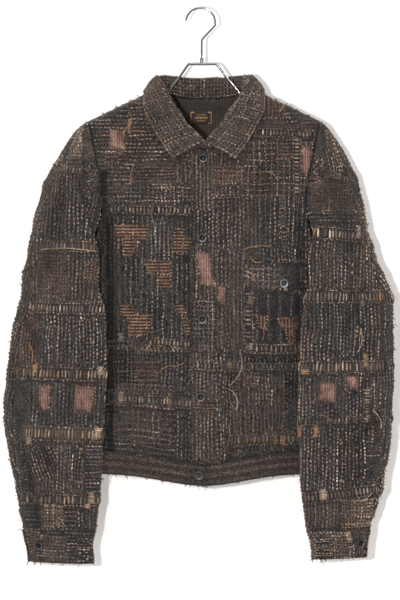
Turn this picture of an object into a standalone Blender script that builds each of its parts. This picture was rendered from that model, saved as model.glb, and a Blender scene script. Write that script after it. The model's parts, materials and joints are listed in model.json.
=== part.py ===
"""A patched boro work jacket hung on a double-wire hanger.

Every cloth piece is a wall with the garment's own shape: sections worked out
from the sizes below are joined into an outer skin, and the inner skin is that
skin moved in by the cloth's thickness. Lengths are in metres, +Z is up, the
jacket faces -Y, and the origin is where a rod carries the hook.
"""

import math

import bmesh
import bpy
import numpy as np
from mathutils import Vector
from mathutils.bvhtree import BVHTree

# ---------------------------------------------------------------- driving sizes
WALL = 0.002  # layered and stitched cloth
PATCH_WALL = 0.0012  # one layer sewn on top
LINING_WALL = 0.001
SEAM = 0.0004  # gap between neighbouring pieces
ARMHOLE_LEAN = 0.30  # the seam's walls lean outwards by this much
ARMHOLE_GAP = 0.0011
SLEEVE_SEAM = 0.0016  # wider, where walls meet at a bend
MIDDLE = 0.006  # the jacket's centre line lies beside the hook's centre

# Torso, measured from its centre line
NECK_SIDE = (0.0745, -0.1315)  # where neckline and shoulder meet
SHOULDER = (0.186, -0.180)  # outer end of the shoulder
UNDERARM = (0.203, -0.411)
SEAM_BOTTOM = -0.712  # where the waistband is sewn on, at the sides
BAND_HEIGHT = 0.035
HEM_DROOP = 0.018  # the front hem hangs lower in the middle
HEM_DROOP_REACH = 0.085
HEM_DROOP_START = -0.556
RIDGE_ROUND = 0.013  # radius of the shoulder over the two hanger wires
FRONT_SWELL, FRONT_SWELL_REACH = 0.052, 0.12
BACK_SWELL, BACK_SWELL_REACH = 0.050, 0.05
SIDE_ROUNDNESS = 2.6
HALF_RING = 10  # steps from shoulder to underarm, on body and sleeve alike

# Front opening
EDGE = 0.0205  # each front runs this far past the centre line
UNDERLAP_DROP = 0.0030  # the right front lies this much deeper under the left
UNDERLAP_START = 0.046

# Half widths of the torso from the shoulder down
TORSO_COLUMNS = ("z", "half_width")
TORSO = (
    (-0.180, 0.186),
    (-0.2146, 0.179),
    (-0.2585, 0.170),
    (-0.2955, 0.164),
    (-0.340, 0.165),
    (-0.378, 0.179),
    (-0.411, 0.203),
    (-0.450, 0.205),
    (-0.550, 0.203),
    (-0.650, 0.197),
    (-0.712, 0.191),
    (-0.790, 0.186),
)

# Neckline and shoulder line, from the centre outwards
NECK_COLUMNS = ("x", "z")
FRONT_TOP = (
    (-0.0205, -0.2290),
    (0.0000, -0.2285),
    (0.0205, -0.2220),
    (0.0400, -0.2060),
    (0.0550, -0.1850),
    (0.0660, -0.1600),
    NECK_SIDE,
    (0.0980, -0.1380),
    (0.1220, -0.1492),
    (0.1450, -0.1604),
    (0.1670, -0.1710),
    SHOULDER,
)
BACK_TOP = (
    (0.0000, -0.1440),
    (0.0220, -0.1435),
    (0.0440, -0.1410),
    (0.0620, -0.1370),
    NECK_SIDE,
    (0.0980, -0.1380),
    (0.1220, -0.1492),
    (0.1450, -0.1604),
    (0.1670, -0.1710),
    SHOULDER,
)
# Columns of the panels below the chest; the last one is the side seam
FRONT_LOW = (-0.0205, 0.0, 0.0205, 0.034, 0.048, 0.061, 0.082, 0.104, 0.125, 0.148, 0.189)
BACK_LOW = (0.0, 0.026, 0.052, 0.078, 0.103, 0.127, 0.150, 0.171, 0.190)
FREE_COLUMN = 0.125  # columns beyond this follow the armhole in and out
WIDEST = 0.205

YOKE_ROW = 6  # the right front's yoke seam, in steps of the armhole
BACK_YOKE_ROW = 4
LOW_ROWS = (-0.4335, -0.456, -0.490, -0.523, -0.556, -0.595, -0.635, -0.675, SEAM_BOTTOM)

# Soft folds of the body: a groove is negative and a ridge positive
FOLD_COLUMNS = ("x_top", "z_top", "x_bottom", "z_bottom", "width", "height")
FRONT_FOLDS = (
    (0.040, -0.500, 0.049, -0.735, 0.008, -0.0050),
    (0.062, -0.480, 0.066, -0.735, 0.020, 0.0035),
    (-0.060, -0.430, -0.085, -0.735, 0.026, 0.0040),
    (-0.105, -0.380, -0.125, -0.735, 0.022, -0.0040),
    (0.115, -0.560, 0.128, -0.735, 0.022, -0.0035),
    (-0.120, -0.200, -0.095, -0.330, 0.030, -0.0030),
    (0.120, -0.200, 0.100, -0.330, 0.030, -0.0030),
)
BACK_FOLDS = (
    (-0.055, -0.330, -0.070, -0.735, 0.024, 0.0050),
    (0.050, -0.360, 0.062, -0.735, 0.024, 0.0045),
    (0.000, -0.420, 0.004, -0.735, 0.022, -0.0040),
    (-0.125, -0.300, -0.130, -0.735, 0.026, -0.0045),
    (0.120, -0.300, 0.132, -0.735, 0.026, -0.0045),
)

# Sleeves: each row is a section from its outer edge to its inner edge
SLEEVE_COLUMNS = (
    "outer_x", "outer_z", "inner_x", "inner_z", "outer_y", "inner_y", "front", "back", "lean", "seam_angle",
)
RIGHT_SLEEVE = (
    (0.197, -0.188, 0.211, -0.421, -0.002, -0.006, 0.046, 0.034, 0.15, 0),
    (0.218, -0.218, 0.202, -0.444, -0.005, -0.022, 0.047, 0.036, 0.40, 4),
    (0.245, -0.266, 0.188, -0.469, -0.010, -0.036, 0.045, 0.031, 0.55, 8),
    (0.264, -0.318, 0.168, -0.492, -0.014, -0.055, 0.040, 0.028, 0.50, 14),
    (0.279, -0.366, 0.158, -0.512, -0.017, -0.066, 0.035, 0.027, 0.20, 20),
    (0.286, -0.412, 0.157, -0.530, -0.019, -0.069, 0.031, 0.026, 0.00, 26),
    (0.292, -0.456, 0.156, -0.556, -0.020, -0.068, 0.028, 0.025, -0.15, 32),
    (0.304, -0.502, 0.156, -0.584, -0.020, -0.067, 0.026, 0.025, -0.20, 38),
    (0.313, -0.549, 0.157, -0.614, -0.020, -0.066, 0.026, 0.024, -0.22, 42),
    (0.318, -0.598, 0.159, -0.646, -0.020, -0.065, 0.026, 0.023, -0.22, 44),
    (0.321, -0.648, 0.160, -0.680, -0.020, -0.063, 0.025, 0.023, -0.22, 42),
    (0.317, -0.698, 0.162, -0.712, -0.020, -0.060, 0.024, 0.022, -0.20, 38),
    (0.306, -0.748, 0.164, -0.755, -0.021, -0.056, 0.023, 0.021, -0.18, 32),
    (0.297, -0.797, 0.168, -0.799, -0.022, -0.052, 0.021, 0.020, -0.16, 26),
    (0.290, -0.837, 0.173, -0.838, -0.023, -0.048, 0.019, 0.018, -0.15, 20),
)
LEFT_SLEEVE = (
    (0.196, -0.189, 0.211, -0.421, -0.002, -0.006, 0.046, 0.034, 0.15, 0),
    (0.216, -0.221, 0.202, -0.444, -0.005, -0.022, 0.047, 0.036, 0.40, 4),
    (0.236, -0.268, 0.188, -0.469, -0.010, -0.036, 0.045, 0.031, 0.55, 8),
    (0.253, -0.319, 0.168, -0.492, -0.014, -0.055, 0.040, 0.028, 0.50, 16),
    (0.264, -0.366, 0.158, -0.512, -0.017, -0.066, 0.035, 0.027, 0.20, 24),
    (0.280, -0.412, 0.155, -0.530, -0.019, -0.069, 0.031, 0.026, 0.00, 32),
    (0.298, -0.455, 0.153, -0.556, -0.020, -0.068, 0.028, 0.026, -0.15, 40),
    (0.303, -0.500, 0.151, -0.584, -0.020, -0.067, 0.027, 0.025, -0.20, 44),
    (0.304, -0.548, 0.150, -0.614, -0.020, -0.066, 0.026, 0.024, -0.22, 44),
    (0.302, -0.597, 0.149, -0.646, -0.020, -0.065, 0.026, 0.023, -0.22, 44),
    (0.301, -0.646, 0.149, -0.680, -0.020, -0.063, 0.025, 0.023, -0.22, 42),
    (0.299, -0.695, 0.151, -0.712, -0.020, -0.060, 0.024, 0.022, -0.20, 38),
    (0.291, -0.746, 0.153, -0.755, -0.021, -0.056, 0.023, 0.021, -0.18, 32),
    (0.277, -0.795, 0.158, -0.797, -0.022, -0.052, 0.021, 0.020, -0.16, 26),
    (0.265, -0.832, 0.162, -0.834, -0.023, -0.048, 0.019, 0.018, -0.15, 20),
)
SLEEVE_ROUNDNESS = 2.2  # of a section: 2 is an oval, and more is squarer
UNDERARM_ROUNDNESS = 3.6
UNDERARM_RINGS = 7  # the sections over which one passes into the other
CUFF_COLUMNS = SLEEVE_COLUMNS
RIGHT_CUFF = (
    (0.287, -0.8374, 0.1745, -0.8386, -0.023, -0.048, 0.0185, 0.0175, -0.15, 20),
    (0.284, -0.862, 0.1755, -0.864, -0.023, -0.047, 0.0185, 0.0175, -0.15, 20),
    (0.280, -0.888, 0.176, -0.890, -0.023, -0.046, 0.0190, 0.0180, -0.15, 20),
)
LEFT_CUFF = (
    (0.262, -0.8324, 0.1635, -0.8346, -0.023, -0.048, 0.0185, 0.0175, -0.15, 20),
    (0.260, -0.857, 0.168, -0.859, -0.023, -0.047, 0.0185, 0.0175, -0.15, 20),
    (0.258, -0.881, 0.172, -0.883, -0.023, -0.046, 0.0190, 0.0180, -0.15, 20),
)
CUFF_STEPS = 22
CUFF_START = 22  # degrees round the cuff where its top end lies
CUFF_OVERLAP = 34  # degrees that its two ends overlap
CUFF_LIFT = 0.0028

# Collar: from the back's middle to the front edge, beside each neckline point
COLLAR_COLUMNS = ("neck", "roll_x", "roll_y", "roll_z", "edge_x", "edge_y", "edge_z")
COLLAR = (  # neck counts the neckline's points from the back's middle; edge_y None lies on the body
    (0, 0.000, 0.045, -0.109, 0.000, None, -0.160),
    (1, 0.024, 0.041, -0.1085, 0.029, None, -0.160),
    (2, 0.048, 0.034, -0.107, 0.057, None, -0.158),
    (3, 0.066, 0.022, -0.106, 0.083, None, -0.150),
    (3.5, 0.0735, 0.012, -0.107, 0.092, 0.0185, -0.1385),
    (4, 0.0765, 0.000, -0.108, 0.096, 0.0000, -0.1325),
    (4.5, 0.0735, -0.016, -0.116, 0.0975, -0.0155, -0.1425),
    (5, 0.068, -0.031, -0.126, 0.097, None, -0.164),
    (6, 0.055, -0.044, -0.148, 0.085, None, -0.192),
    (7, 0.038, -0.052, -0.176, 0.070, None, -0.217),
    (8, 0.018, -0.056, -0.200, 0.058, None, -0.236),
    (9, 0.001, -0.056, -0.216, 0.049, None, -0.244),
)
COLLAR_LIFT = 0.005  # the fall's edge stands this far off the body
ROLL_HALF = 0.0032  # half the width of the fold at the collar's top
NECK_RISE = 0.0018

# Pocket and flap, in columns and rows of the left front's grid
POCKET = {"first": 5, "last": 9.6, "top": 12, "bottom": 15}
FLAP = {"first": 5, "last": 9.6, "top": 10, "bottom": 11.9}
POCKET_BULGE = 0.003

LABEL = {"top": 1.36, "bottom": 2.12, "half_columns": 0.80, "steps": 5}
LABEL_WALL = 0.0006
LABEL_GAP = 0.0008

# Patches sewn on: blocks of a panel's grid, from its shoulder or its armhole down
PATCH_COLUMNS = ("name", "panel", "top", "bottom", "first", "last", "skin")
PATCHES = (
    ("patch_waist_right", "front_right", 8.2, 11.0, 3.0, 5.4, "orange_plaid"),
    ("patch_hip_right", "front_right", 12.3, 14.1, 1.6, 4.2, "orange_plaid"),
    ("patch_chest_right", "front_right", 6.15, 7.6, 1.3, 3.4, "orange_plaid"),
    ("patch_centre_right", "front_right", 6.2, 8.3, 6.6, 8.5, "orange_plaid"),
    ("patch_lower_right", "front_right", 16.2, 18.4, 2.2, 6.6, "boro_patch"),
    ("patch_chest_left", "front_left", 3.1, 4.6, 8.7, 10.6, "pink_cloth"),
    ("patch_hip_left", "front_left", 15.6, 18.0, 4.2, 8.2, "boro_patch"),
    ("patch_back_middle", "back", 7.2, 11.4, 7.2, 12.5, "dark_cloth"),
    ("patch_back_low", "back", 13.3, 16.6, 3.2, 8.3, "boro_patch"),
    ("patch_back_side", "back", 12.4, 14.8, 14.2, 17.6, "orange_plaid"),
)
SLEEVE_PATCHES = (
    ("patch_forearm_right", "sleeve_right_front", 9.4, 10.5, 3.2, 5.2, "pink_cloth"),
    ("patch_elbow_right", "sleeve_right_back", 8.3, 10.2, 3.4, 6.6, "boro_patch"),
    ("patch_forearm_left", "sleeve_left_front", 9.4, 10.2, 5.4, 7.4, "pink_cloth"),
    ("patch_elbow_left", "sleeve_left_back", 7.4, 9.2, 3.2, 6.4, "boro_patch"),
)
PATCH_GAP = 0.0009

BUTTON_R, BUTTON_H = 0.0078, 0.0034
BUTTON_GAP = 0.0004
SHANK_R, SHANK_H = 0.0019, 0.0010  # the thread that holds a button off the cloth
BUTTON_STEPS = 16
BUTTON_PROFILE = (  # radius and height as shares, down the outer side
    (0.00, 0.45),
    (0.20, 0.45),
    (0.24, 0.20),
    (0.48, 0.20),
    (0.56, 0.80),
    (0.72, 1.00),
    (0.90, 0.86),
    (1.00, 0.50),
    (0.92, 0.10),
    (0.80, 0.00),
)
BUTTON_COLUMNS = ("name", "cloth", "x", "z")
BUTTONS = (
    ("button_front_1", "button_placket", 0.004, -0.2430),
    ("button_front_2", "button_placket", 0.003, -0.3700),
    ("button_front_3", "button_placket", 0.003, -0.5000),
    ("button_front_4", "button_placket", 0.000, -0.6240),
    ("button_waistband", "waistband", -0.002, -0.7480),
    ("button_pocket", "pocket_flap", 0.132, -0.4420),
    ("button_cuff_right", "cuff_right", -0.2565, -0.8610),
    ("button_cuff_left", "cuff_left", 0.2530, -0.8585),
)

# Hanger
WIRE_R = 0.00175
WIRE_RESOLUTION = 2
HOOK_R = 0.0235
HOOK_TIP_ANGLE, HOOK_END_ANGLE = 172, -14
STEM_X, STEM_TOP, STEM_BOTTOM = 0.002, -0.0504, -0.0788
FERRULE_R, FERRULE_TOP, FERRULE_BOTTOM = 0.0030, -0.0792, -0.0883
FERRULE_STEPS = 20
HANGER_HALF_WIDTH = 0.005
HANGER_DEPTH_BELOW_RIDGE = 0.0118
HANGER_COLUMNS = ("x", "z")
HANGER_NECK = (
    (0.0000, -0.0890),
    (0.0205, -0.0890),
    (0.0245, -0.0915),
    (0.0400, -0.1130),
    (0.0480, -0.1225),
    (0.0640, -0.1412),
)
HANGER_END = 0.170

SKIN = {  # colour, roughness, metallic
    "boro_cloth": ((0.075, 0.062, 0.055), 0.95, 0.0),
    "boro_patch": ((0.105, 0.082, 0.068), 0.95, 0.0),
    "dark_cloth": ((0.038, 0.034, 0.031), 0.95, 0.0),
    "orange_plaid": ((0.30, 0.13, 0.07), 0.95, 0.0),
    "pink_cloth": ((0.26, 0.13, 0.10), 0.95, 0.0),
    "lining": ((0.042, 0.034, 0.029), 0.90, 0.0),
    "label": ((0.012, 0.012, 0.013), 0.80, 0.0),
    "button": ((0.020, 0.020, 0.022), 0.30, 0.6),
    "chrome": ((0.70, 0.70, 0.72), 0.10, 1.0),
}


# ------------------------------------------------------------------ small tools
def smooth(t):
    t = np.clip(t, 0.0, 1.0)
    return t * t * (3 - 2 * t)


def unit(v):
    return v / np.maximum(np.linalg.norm(v, axis=-1, keepdims=True), 1e-12)


def between(table, key):
    """The second column of a two-column table, read at key in the first."""
    keys = [row[0] for row in table]
    values = [row[1] for row in table]
    if keys[0] > keys[-1]:
        keys, values = keys[::-1], values[::-1]
    return np.interp(key, keys, values)


def normals_of(grid):
    """Outward normals of a grid whose rows run down and columns to the right: each
    point takes the mean of the faces that meet there."""
    faces = unit(np.cross(grid[1:, 1:] - grid[:-1, :-1], grid[:-1, 1:] - grid[1:, :-1]))
    total = np.zeros_like(grid)
    for rows in (slice(None, -1), slice(1, None)):
        for columns in (slice(None, -1), slice(1, None)):
            total[rows, columns] += faces
    return unit(total)


def with_steps(first, last):
    """Both ends and every whole number between them."""
    return np.array([first, *range(math.floor(first) + 1, math.ceil(last)), last])


def sampled(grid, rows, columns):
    """The grid read at fractional rows and columns, straight between its points."""
    i = np.minimum(np.floor(rows).astype(int), grid.shape[0] - 2)
    j = np.minimum(np.floor(columns).astype(int), grid.shape[1] - 2)
    s, t = (rows - i)[:, None, None], (columns - j)[None, :, None]
    upper = grid[np.ix_(i, j)] * (1 - t) + grid[np.ix_(i, j + 1)] * t
    lower = grid[np.ix_(i + 1, j)] * (1 - t) + grid[np.ix_(i + 1, j + 1)] * t
    return upper * (1 - s) + lower * s


def material(name):
    """The plain material of a skin, made once."""
    found = bpy.data.materials.get(name)
    if found:
        return found
    made = bpy.data.materials.new(name)
    made.use_nodes = True
    shader = made.node_tree.nodes["Principled BSDF"]
    colour, roughness, metallic = SKIN[name]
    shader.inputs["Base Color"].default_value = (*colour, 1.0)
    shader.inputs["Roughness"].default_value = roughness
    shader.inputs["Metallic"].default_value = metallic
    return made


def add_object(name, mesh, skin):
    made = bpy.data.objects.new(name, mesh)
    made.data.materials.append(material(skin))
    JACKET.objects.link(made)
    return made


def inset(grid, gap, sides):
    """Draws the named sides of a grid in by half a seam."""
    moved = grid.copy()
    if "top" in sides:
        moved[0] += unit(grid[1] - grid[0]) * gap
    if "bottom" in sides:
        moved[-1] += unit(grid[-2] - grid[-1]) * gap
    if "left" in sides:
        moved[:, 0] += unit(grid[:, 1] - grid[:, 0]) * gap
    if "right" in sides:
        moved[:, -1] += unit(grid[:, -2] - grid[:, -1]) * gap
    return moved


def halves(corners, points):
    """A four-sided cell as two triangles, cut along its shorter diagonal."""
    a, b, c, d = corners
    if math.dist(points[0], points[2]) <= math.dist(points[1], points[3]):
        return (a, b, c), (a, c, d)
    return (a, b, d), (b, c, d)


ALL_SIDES = "top bottom left right"


def cloth_wall(name, grid, normals, skin, thickness=WALL, gap=SEAM / 2, sides=ALL_SIDES, mirrored=False):
    """A wall lofted from sections: each grid row gives an outer line and, one thickness in, an inner one.

    Solidify can't mitre a wall to the piece beyond its seam, so the inner line
    follows the normals that both pieces share there."""
    outer = inset(grid, gap, sides)
    inner = outer - normals * thickness
    rows, columns = grid.shape[:2]
    mesh = bmesh.new()
    skins = [[[mesh.verts.new(p) for p in row] for row in layer] for layer in (outer, inner)]
    front, back = skins if not mirrored else skins[::-1]
    for i in range(rows - 1):
        for j in range(columns - 1):
            cell = [(i, j), (i + 1, j), (i + 1, j + 1), (i, j + 1)]
            for triangle in halves(cell, [outer[k] for k in cell]):
                mesh.faces.new([front[k][m] for k, m in triangle])
                mesh.faces.new([back[k][m] for k, m in reversed(triangle)])
    rim = [(0, j) for j in range(columns)]
    rim += [(i, columns - 1) for i in range(1, rows)]
    rim += [(rows - 1, j) for j in range(columns - 2, -1, -1)]
    rim += [(i, 0) for i in range(rows - 2, 0, -1)]
    for (i, j), (k, m) in zip(rim, rim[1:] + rim[:1]):
        side = [front[i][j], front[k][m], back[k][m], back[i][j]]
        for triangle in halves(side, [v.co for v in side]):
            mesh.faces.new(triangle)
    data = bpy.data.meshes.new(name)
    mesh.to_mesh(data)
    mesh.free()
    return add_object(name, data, skin)


def moved_out(grid, normals, distance):
    """A surface's points moved along its normals."""
    return grid + normals * distance


# ------------------------------------------------------------------------ torso
def half_width(z):
    return between(TORSO, z)


def ridge(x):
    """Height of the shoulder line; inside the neck it runs on upwards."""
    side, top = NECK_SIDE
    return np.where(x < side, top + 0.30 * (side - x), between(FRONT_TOP[6:], x))


def over_hanger(depth):
    """The rounded top of the shoulder: a circle in the first few millimetres."""
    near = np.clip(depth, 0.0, RIDGE_ROUND)
    return RIDGE_ROUND * np.sqrt(1 - (1 - near / RIDGE_ROUND) ** 2)


def folds(x, z, table):
    """Soft grooves and ridges, each along a straight line and fading at its ends."""
    total = np.zeros_like(x)
    for x_top, z_top, x_bottom, z_bottom, width, height in table:
        along = (z_top - z) / (z_top - z_bottom)
        line = x_top + (x_bottom - x_top) * along
        fade = smooth(along * 4) * smooth((1.15 - along) * 6)
        total += height * fade * np.exp(-(((x - line) / width) ** 2))
    return total


def reach(x, z, swell, swell_reach):
    """How far the torso stands out from the hanger's plane at x, z."""
    away = np.abs(x)
    depth = np.maximum(ridge(away) - z, 0.0)
    fullness = over_hanger(depth) + swell * (1 - np.exp(-depth / swell_reach))
    share = np.clip(away / half_width(z), 0.0, 1.0)
    down = np.clip((SHOULDER[1] - z) / (SHOULDER[1] - UNDERARM[1]), 0.0, 1.0)
    open_edge = 1 - down**2
    return fullness * (open_edge + (1 - open_edge) * np.sqrt(1 - share**SIDE_ROUNDNESS))


def front_y(x, z):
    quiet = 1 - np.clip(np.abs(x) / half_width(z), 0, 1) ** 8
    return -reach(x, z, FRONT_SWELL, FRONT_SWELL_REACH) - folds(x, z, FRONT_FOLDS) * quiet


def back_y(x, z):
    quiet = 1 - np.clip(np.abs(x) / half_width(z), 0, 1) ** 8
    return reach(x, z, BACK_SWELL, BACK_SWELL_REACH) + folds(x, z, BACK_FOLDS) * quiet


def droop(x, z):
    """The front hangs lower towards the middle of its hem."""
    weight = smooth((HEM_DROOP_START - z) / (HEM_DROOP_START - SEAM_BOTTOM))
    return HEM_DROOP * weight * np.exp(-((x / HEM_DROOP_REACH) ** 2))


def ring_angles():
    return np.radians(np.linspace(0, 180, HALF_RING + 1))


def armhole_z(angle):
    top, bottom = SHOULDER[1], UNDERARM[1]
    return (top + bottom) / 2 + (top - bottom) / 2 * np.cos(angle)


def row_heights():
    return np.concatenate([armhole_z(ring_angles()), LOW_ROWS])


def low_columns(columns, z):
    """x of each column at height z: straight inside, following the armhole outside."""
    x = np.array([*columns, WIDEST])
    wide = half_width(z)
    squeeze = (wide - FREE_COLUMN) / (WIDEST - FREE_COLUMN)
    return np.where(x > FREE_COLUMN, FREE_COLUMN + (x - FREE_COLUMN) * squeeze, x)


def half_panel(top, columns, last_yoke_row):
    """x and z of half a front or back, from the neckline and shoulder to the waistband."""
    top_x = np.array([p[0] for p in top])
    top_z = np.array([p[1] for p in top])
    heights = row_heights()
    xs, zs = [], []
    for row, z in enumerate(heights):
        down = (heights[0] - z) / (heights[0] - heights[last_yoke_row])
        low_x = low_columns(columns, z)
        if down < 1:
            x = top_x + (low_columns(columns, heights[last_yoke_row]) - top_x) * smooth(down)
            x[-1] = half_width(z)
            xs.append(x)
            zs.append(top_z + (heights[last_yoke_row] - top_z) * down)
            zs[-1][-1] = z
        else:
            xs.append(low_x)
            zs.append(np.full(len(low_x), z))
    return np.array(xs), np.array(zs)


def armhole_normals(angles, side, front):
    """Normals that body and sleeve share round the armhole."""
    sideways = np.full_like(angles, side * ARMHOLE_LEAN)
    forward = (-1 if front else 1) * np.sin(angles)
    return unit(np.stack([sideways, forward, np.cos(angles)], axis=1))


def share_seam_normals(normals, side_column, side, front, ridge_from):
    """Side seam and shoulder seam lie in the hanger's plane; the armhole's are the sleeve's."""
    normals[HALF_RING:, side_column, 1] = 0.0
    normals[0, ridge_from, 1] = 0.0
    normals[:] = unit(normals)
    normals[: HALF_RING + 1, side_column] = armhole_normals(ring_angles(), side, front)


def front_panel(side):
    """Grid and normals of one front, seen from the front: side is -1 for the wearer's right."""
    x, z = half_panel(FRONT_TOP, FRONT_LOW, YOKE_ROW)
    z = z - droop(x, z)
    y = front_y(side * x, z)
    if side < 0:
        y = y + UNDERLAP_DROP * smooth((UNDERLAP_START - x) / (UNDERLAP_START - EDGE))
    grid = np.stack([side * x + MIDDLE, y, z], axis=2)
    neck = FRONT_TOP.index(NECK_SIDE)
    if side < 0:
        grid = grid[:, ::-1]
        normals = normals_of(grid)
        share_seam_normals(normals, 0, side, True, slice(0, grid.shape[1] - neck))
    else:
        normals = normals_of(grid)
        share_seam_normals(normals, -1, side, True, slice(neck, None))
    return grid, normals


def back_panel():
    """Grid and normals of the whole back, seen from behind."""
    x, z = half_panel(BACK_TOP, BACK_LOW, BACK_YOKE_ROW)
    x = np.concatenate([x[:, ::-1], -x[:, 1:]], axis=1)
    z = np.concatenate([z[:, ::-1], z[:, 1:]], axis=1)
    grid = np.stack([x + MIDDLE, back_y(x, z), z], axis=2)
    normals = normals_of(grid)
    neck = len(BACK_TOP) - 1 - BACK_TOP.index(NECK_SIDE)
    share_seam_normals(normals, 0, 1, False, slice(0, neck + 1))
    share_seam_normals(normals, -1, -1, False, slice(-neck - 1, None))
    return grid, normals


# ---------------------------------------------------------------------- sleeves
def sleeve_ring(row, side, angles, roundness=SLEEVE_ROUNDNESS):
    """A section of a sleeve: a flat oval from its outer edge round the front to its inner edge."""
    outer_x, outer_z, inner_x, inner_z, outer_y, inner_y, front, back, lean, _ = row
    outer = np.array([side * outer_x, outer_y, outer_z])
    inner = np.array([side * inner_x, inner_y, inner_z])
    middle, arm = (outer + inner) / 2, (outer - inner) / 2
    forward = unit(np.array([-side * lean, -math.sqrt(1 - lean**2), 0.0]))
    power = 2 / roundness
    along = np.sign(np.cos(angles)) * np.abs(np.cos(angles)) ** power
    across = np.sign(np.sin(angles)) * np.abs(np.sin(angles)) ** power
    swell = np.where(across > 0, front, back) * across
    ring = middle + along[:, None] * arm + swell[:, None] * forward
    ring[:, 0] += MIDDLE
    return ring


def armhole_ring(side):
    """The sleeve's first section is the body's own armhole, front and then back."""
    angles = ring_angles()
    z = armhole_z(angles)
    x = half_width(z)
    front = np.stack([side * x + MIDDLE, front_y(side * x, z), z], axis=1)
    back = np.stack([side * x + MIDDLE, back_y(side * x, z), z], axis=1)
    normals = np.concatenate([
        armhole_normals(angles, side, True),
        armhole_normals(angles, side, False)[-2::-1],
    ])
    return np.concatenate([front, back[-2::-1]]), normals


def sleeve_grid(table, side):
    """All sections of a sleeve: half a turn for the front piece, then half for the back piece."""
    first, first_normals = armhole_ring(side)
    rings = [first]
    for step, row in enumerate(table):
        seam = math.radians(row[-1])
        square = max(0.0, 1 - step / UNDERARM_RINGS)
        roundness = SLEEVE_ROUNDNESS + (UNDERARM_ROUNDNESS - SLEEVE_ROUNDNESS) * square
        front = np.linspace(seam, math.pi, HALF_RING + 1)
        back = np.linspace(math.pi, 2 * math.pi + seam, HALF_RING + 1)
        rings.append(sleeve_ring(row, side, np.concatenate([front, back[1:]]), roundness))
    grid = np.array(rings)
    along = unit(np.roll(grid[0, :-1], -1, axis=0) - np.roll(grid[0, :-1], 1, axis=0))
    along = np.concatenate([along, along[:1]])
    away = grid[1] - grid[0]
    away -= (away * along).sum(axis=1, keepdims=True) * along
    grid[0] += unit(away) * ARMHOLE_GAP
    around = np.concatenate([grid[:, -2:-1], grid, grid[:, 1:2]], axis=1)
    normals = normals_of(around)[:, 1:-1] * (1 if side < 0 else -1)
    normals[0] = first_normals
    return grid, normals


def add_sleeve(name, table, side):
    """The front and back pieces of a sleeve; returns both surfaces, for patches."""
    grid, normals = sleeve_grid(table, side)
    made = {}
    for part, columns in (("front", slice(0, HALF_RING + 1)), ("back", slice(HALF_RING, None))):
        piece, lean = grid[:, columns], normals[:, columns]
        edges = "left right"
        cloth_wall(f"{name}_{part}", piece, lean, "boro_cloth", WALL, SLEEVE_SEAM / 2, edges, side > 0)
        made[f"{name}_{part}"] = (piece, lean) if side < 0 else (piece[:, ::-1], lean[:, ::-1])
    return made


def add_cuff(name, table, side):
    """A cuff is a strip round the wrist whose top end laps over its own start."""
    start, lap = math.radians(CUFF_START), math.radians(CUFF_OVERLAP)
    turns = np.linspace(start - lap, start + 2 * math.pi, CUFF_STEPS + 1)
    grid = np.array([sleeve_ring(row, side, turns) for row in table])
    centre = grid[:, :-2].mean(axis=1, keepdims=True)
    outward = grid - centre
    outward[..., 2] = 0.0
    lifted = smooth((turns - (start + 2 * math.pi - 1.8 * lap)) / (0.7 * lap))
    grid = grid + unit(outward) * (CUFF_LIFT * lifted)[None, :, None]
    normals = normals_of(grid) * (1 if side < 0 else -1)
    if side > 0:
        grid, normals = grid[:, ::-1], normals[:, ::-1]
    cloth_wall(name, grid, normals, "boro_cloth")


# ----------------------------------------------------------------------- collar
def collar_section(base, roll, edge):
    """One section of the collar: up the stand, over the fold and down the fall."""
    out = unit(np.array([edge[0] - base[0], edge[1] - base[1], 0.0]))
    inside = roll - out * ROLL_HALF
    outside = roll + out * ROLL_HALF
    inside[2] -= ROLL_HALF
    outside[2] -= ROLL_HALF
    stand = base + (inside - base) * 0.5
    fall = outside + (edge - outside) * 0.5
    fall[:2] += out[:2] * 0.001
    return [base, stand, inside, roll, outside, fall, edge]


def collar_grid():
    """Sections from the wearer's right front edge round the back to the left one."""
    back = [(x, float(back_y(np.array(x), np.array(z))), z) for x, z in BACK_TOP[:4]]
    front = [(x, float(front_y(np.array(x), np.array(z))), z) for x, z in FRONT_TOP[5:0:-1]]
    neck = np.array([*back, (NECK_SIDE[0], 0.0, NECK_SIDE[1]), *front])
    steps = np.arange(len(neck))
    half = []
    for place, roll_x, roll_y, roll_z, edge_x, edge_y, edge_z in COLLAR:
        base = np.array([np.interp(place, steps, neck[:, k]) for k in range(3)])
        if edge_y is None:
            x, z = np.array(edge_x), np.array(edge_z)
            edge_y = back_y(x, z) + COLLAR_LIFT if roll_y > 0 else front_y(x, z) - COLLAR_LIFT
        edge = np.array([edge_x, float(edge_y), edge_z])
        inward = unit(np.array([base[0] - edge[0], base[1] - edge[1], 0.0]))
        raised = base + NECK_RISE * unit(inward + [0.0, 0.0, 1.0])
        half.append(collar_section(raised, np.array([roll_x, roll_y, roll_z]), edge))
    right = [[p * np.array([-1, 1, 1]) for p in section] for section in half]
    sections = right[:0:-1] + half
    return np.array(sections).transpose(1, 0, 2) + np.array([MIDDLE, 0.0, 0.0])


def add_collar():
    grid = collar_grid()
    normals = normals_of(grid)
    cloth_wall("collar", moved_out(grid, normals, WALL / 2), normals, "boro_cloth", sides="")


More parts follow.
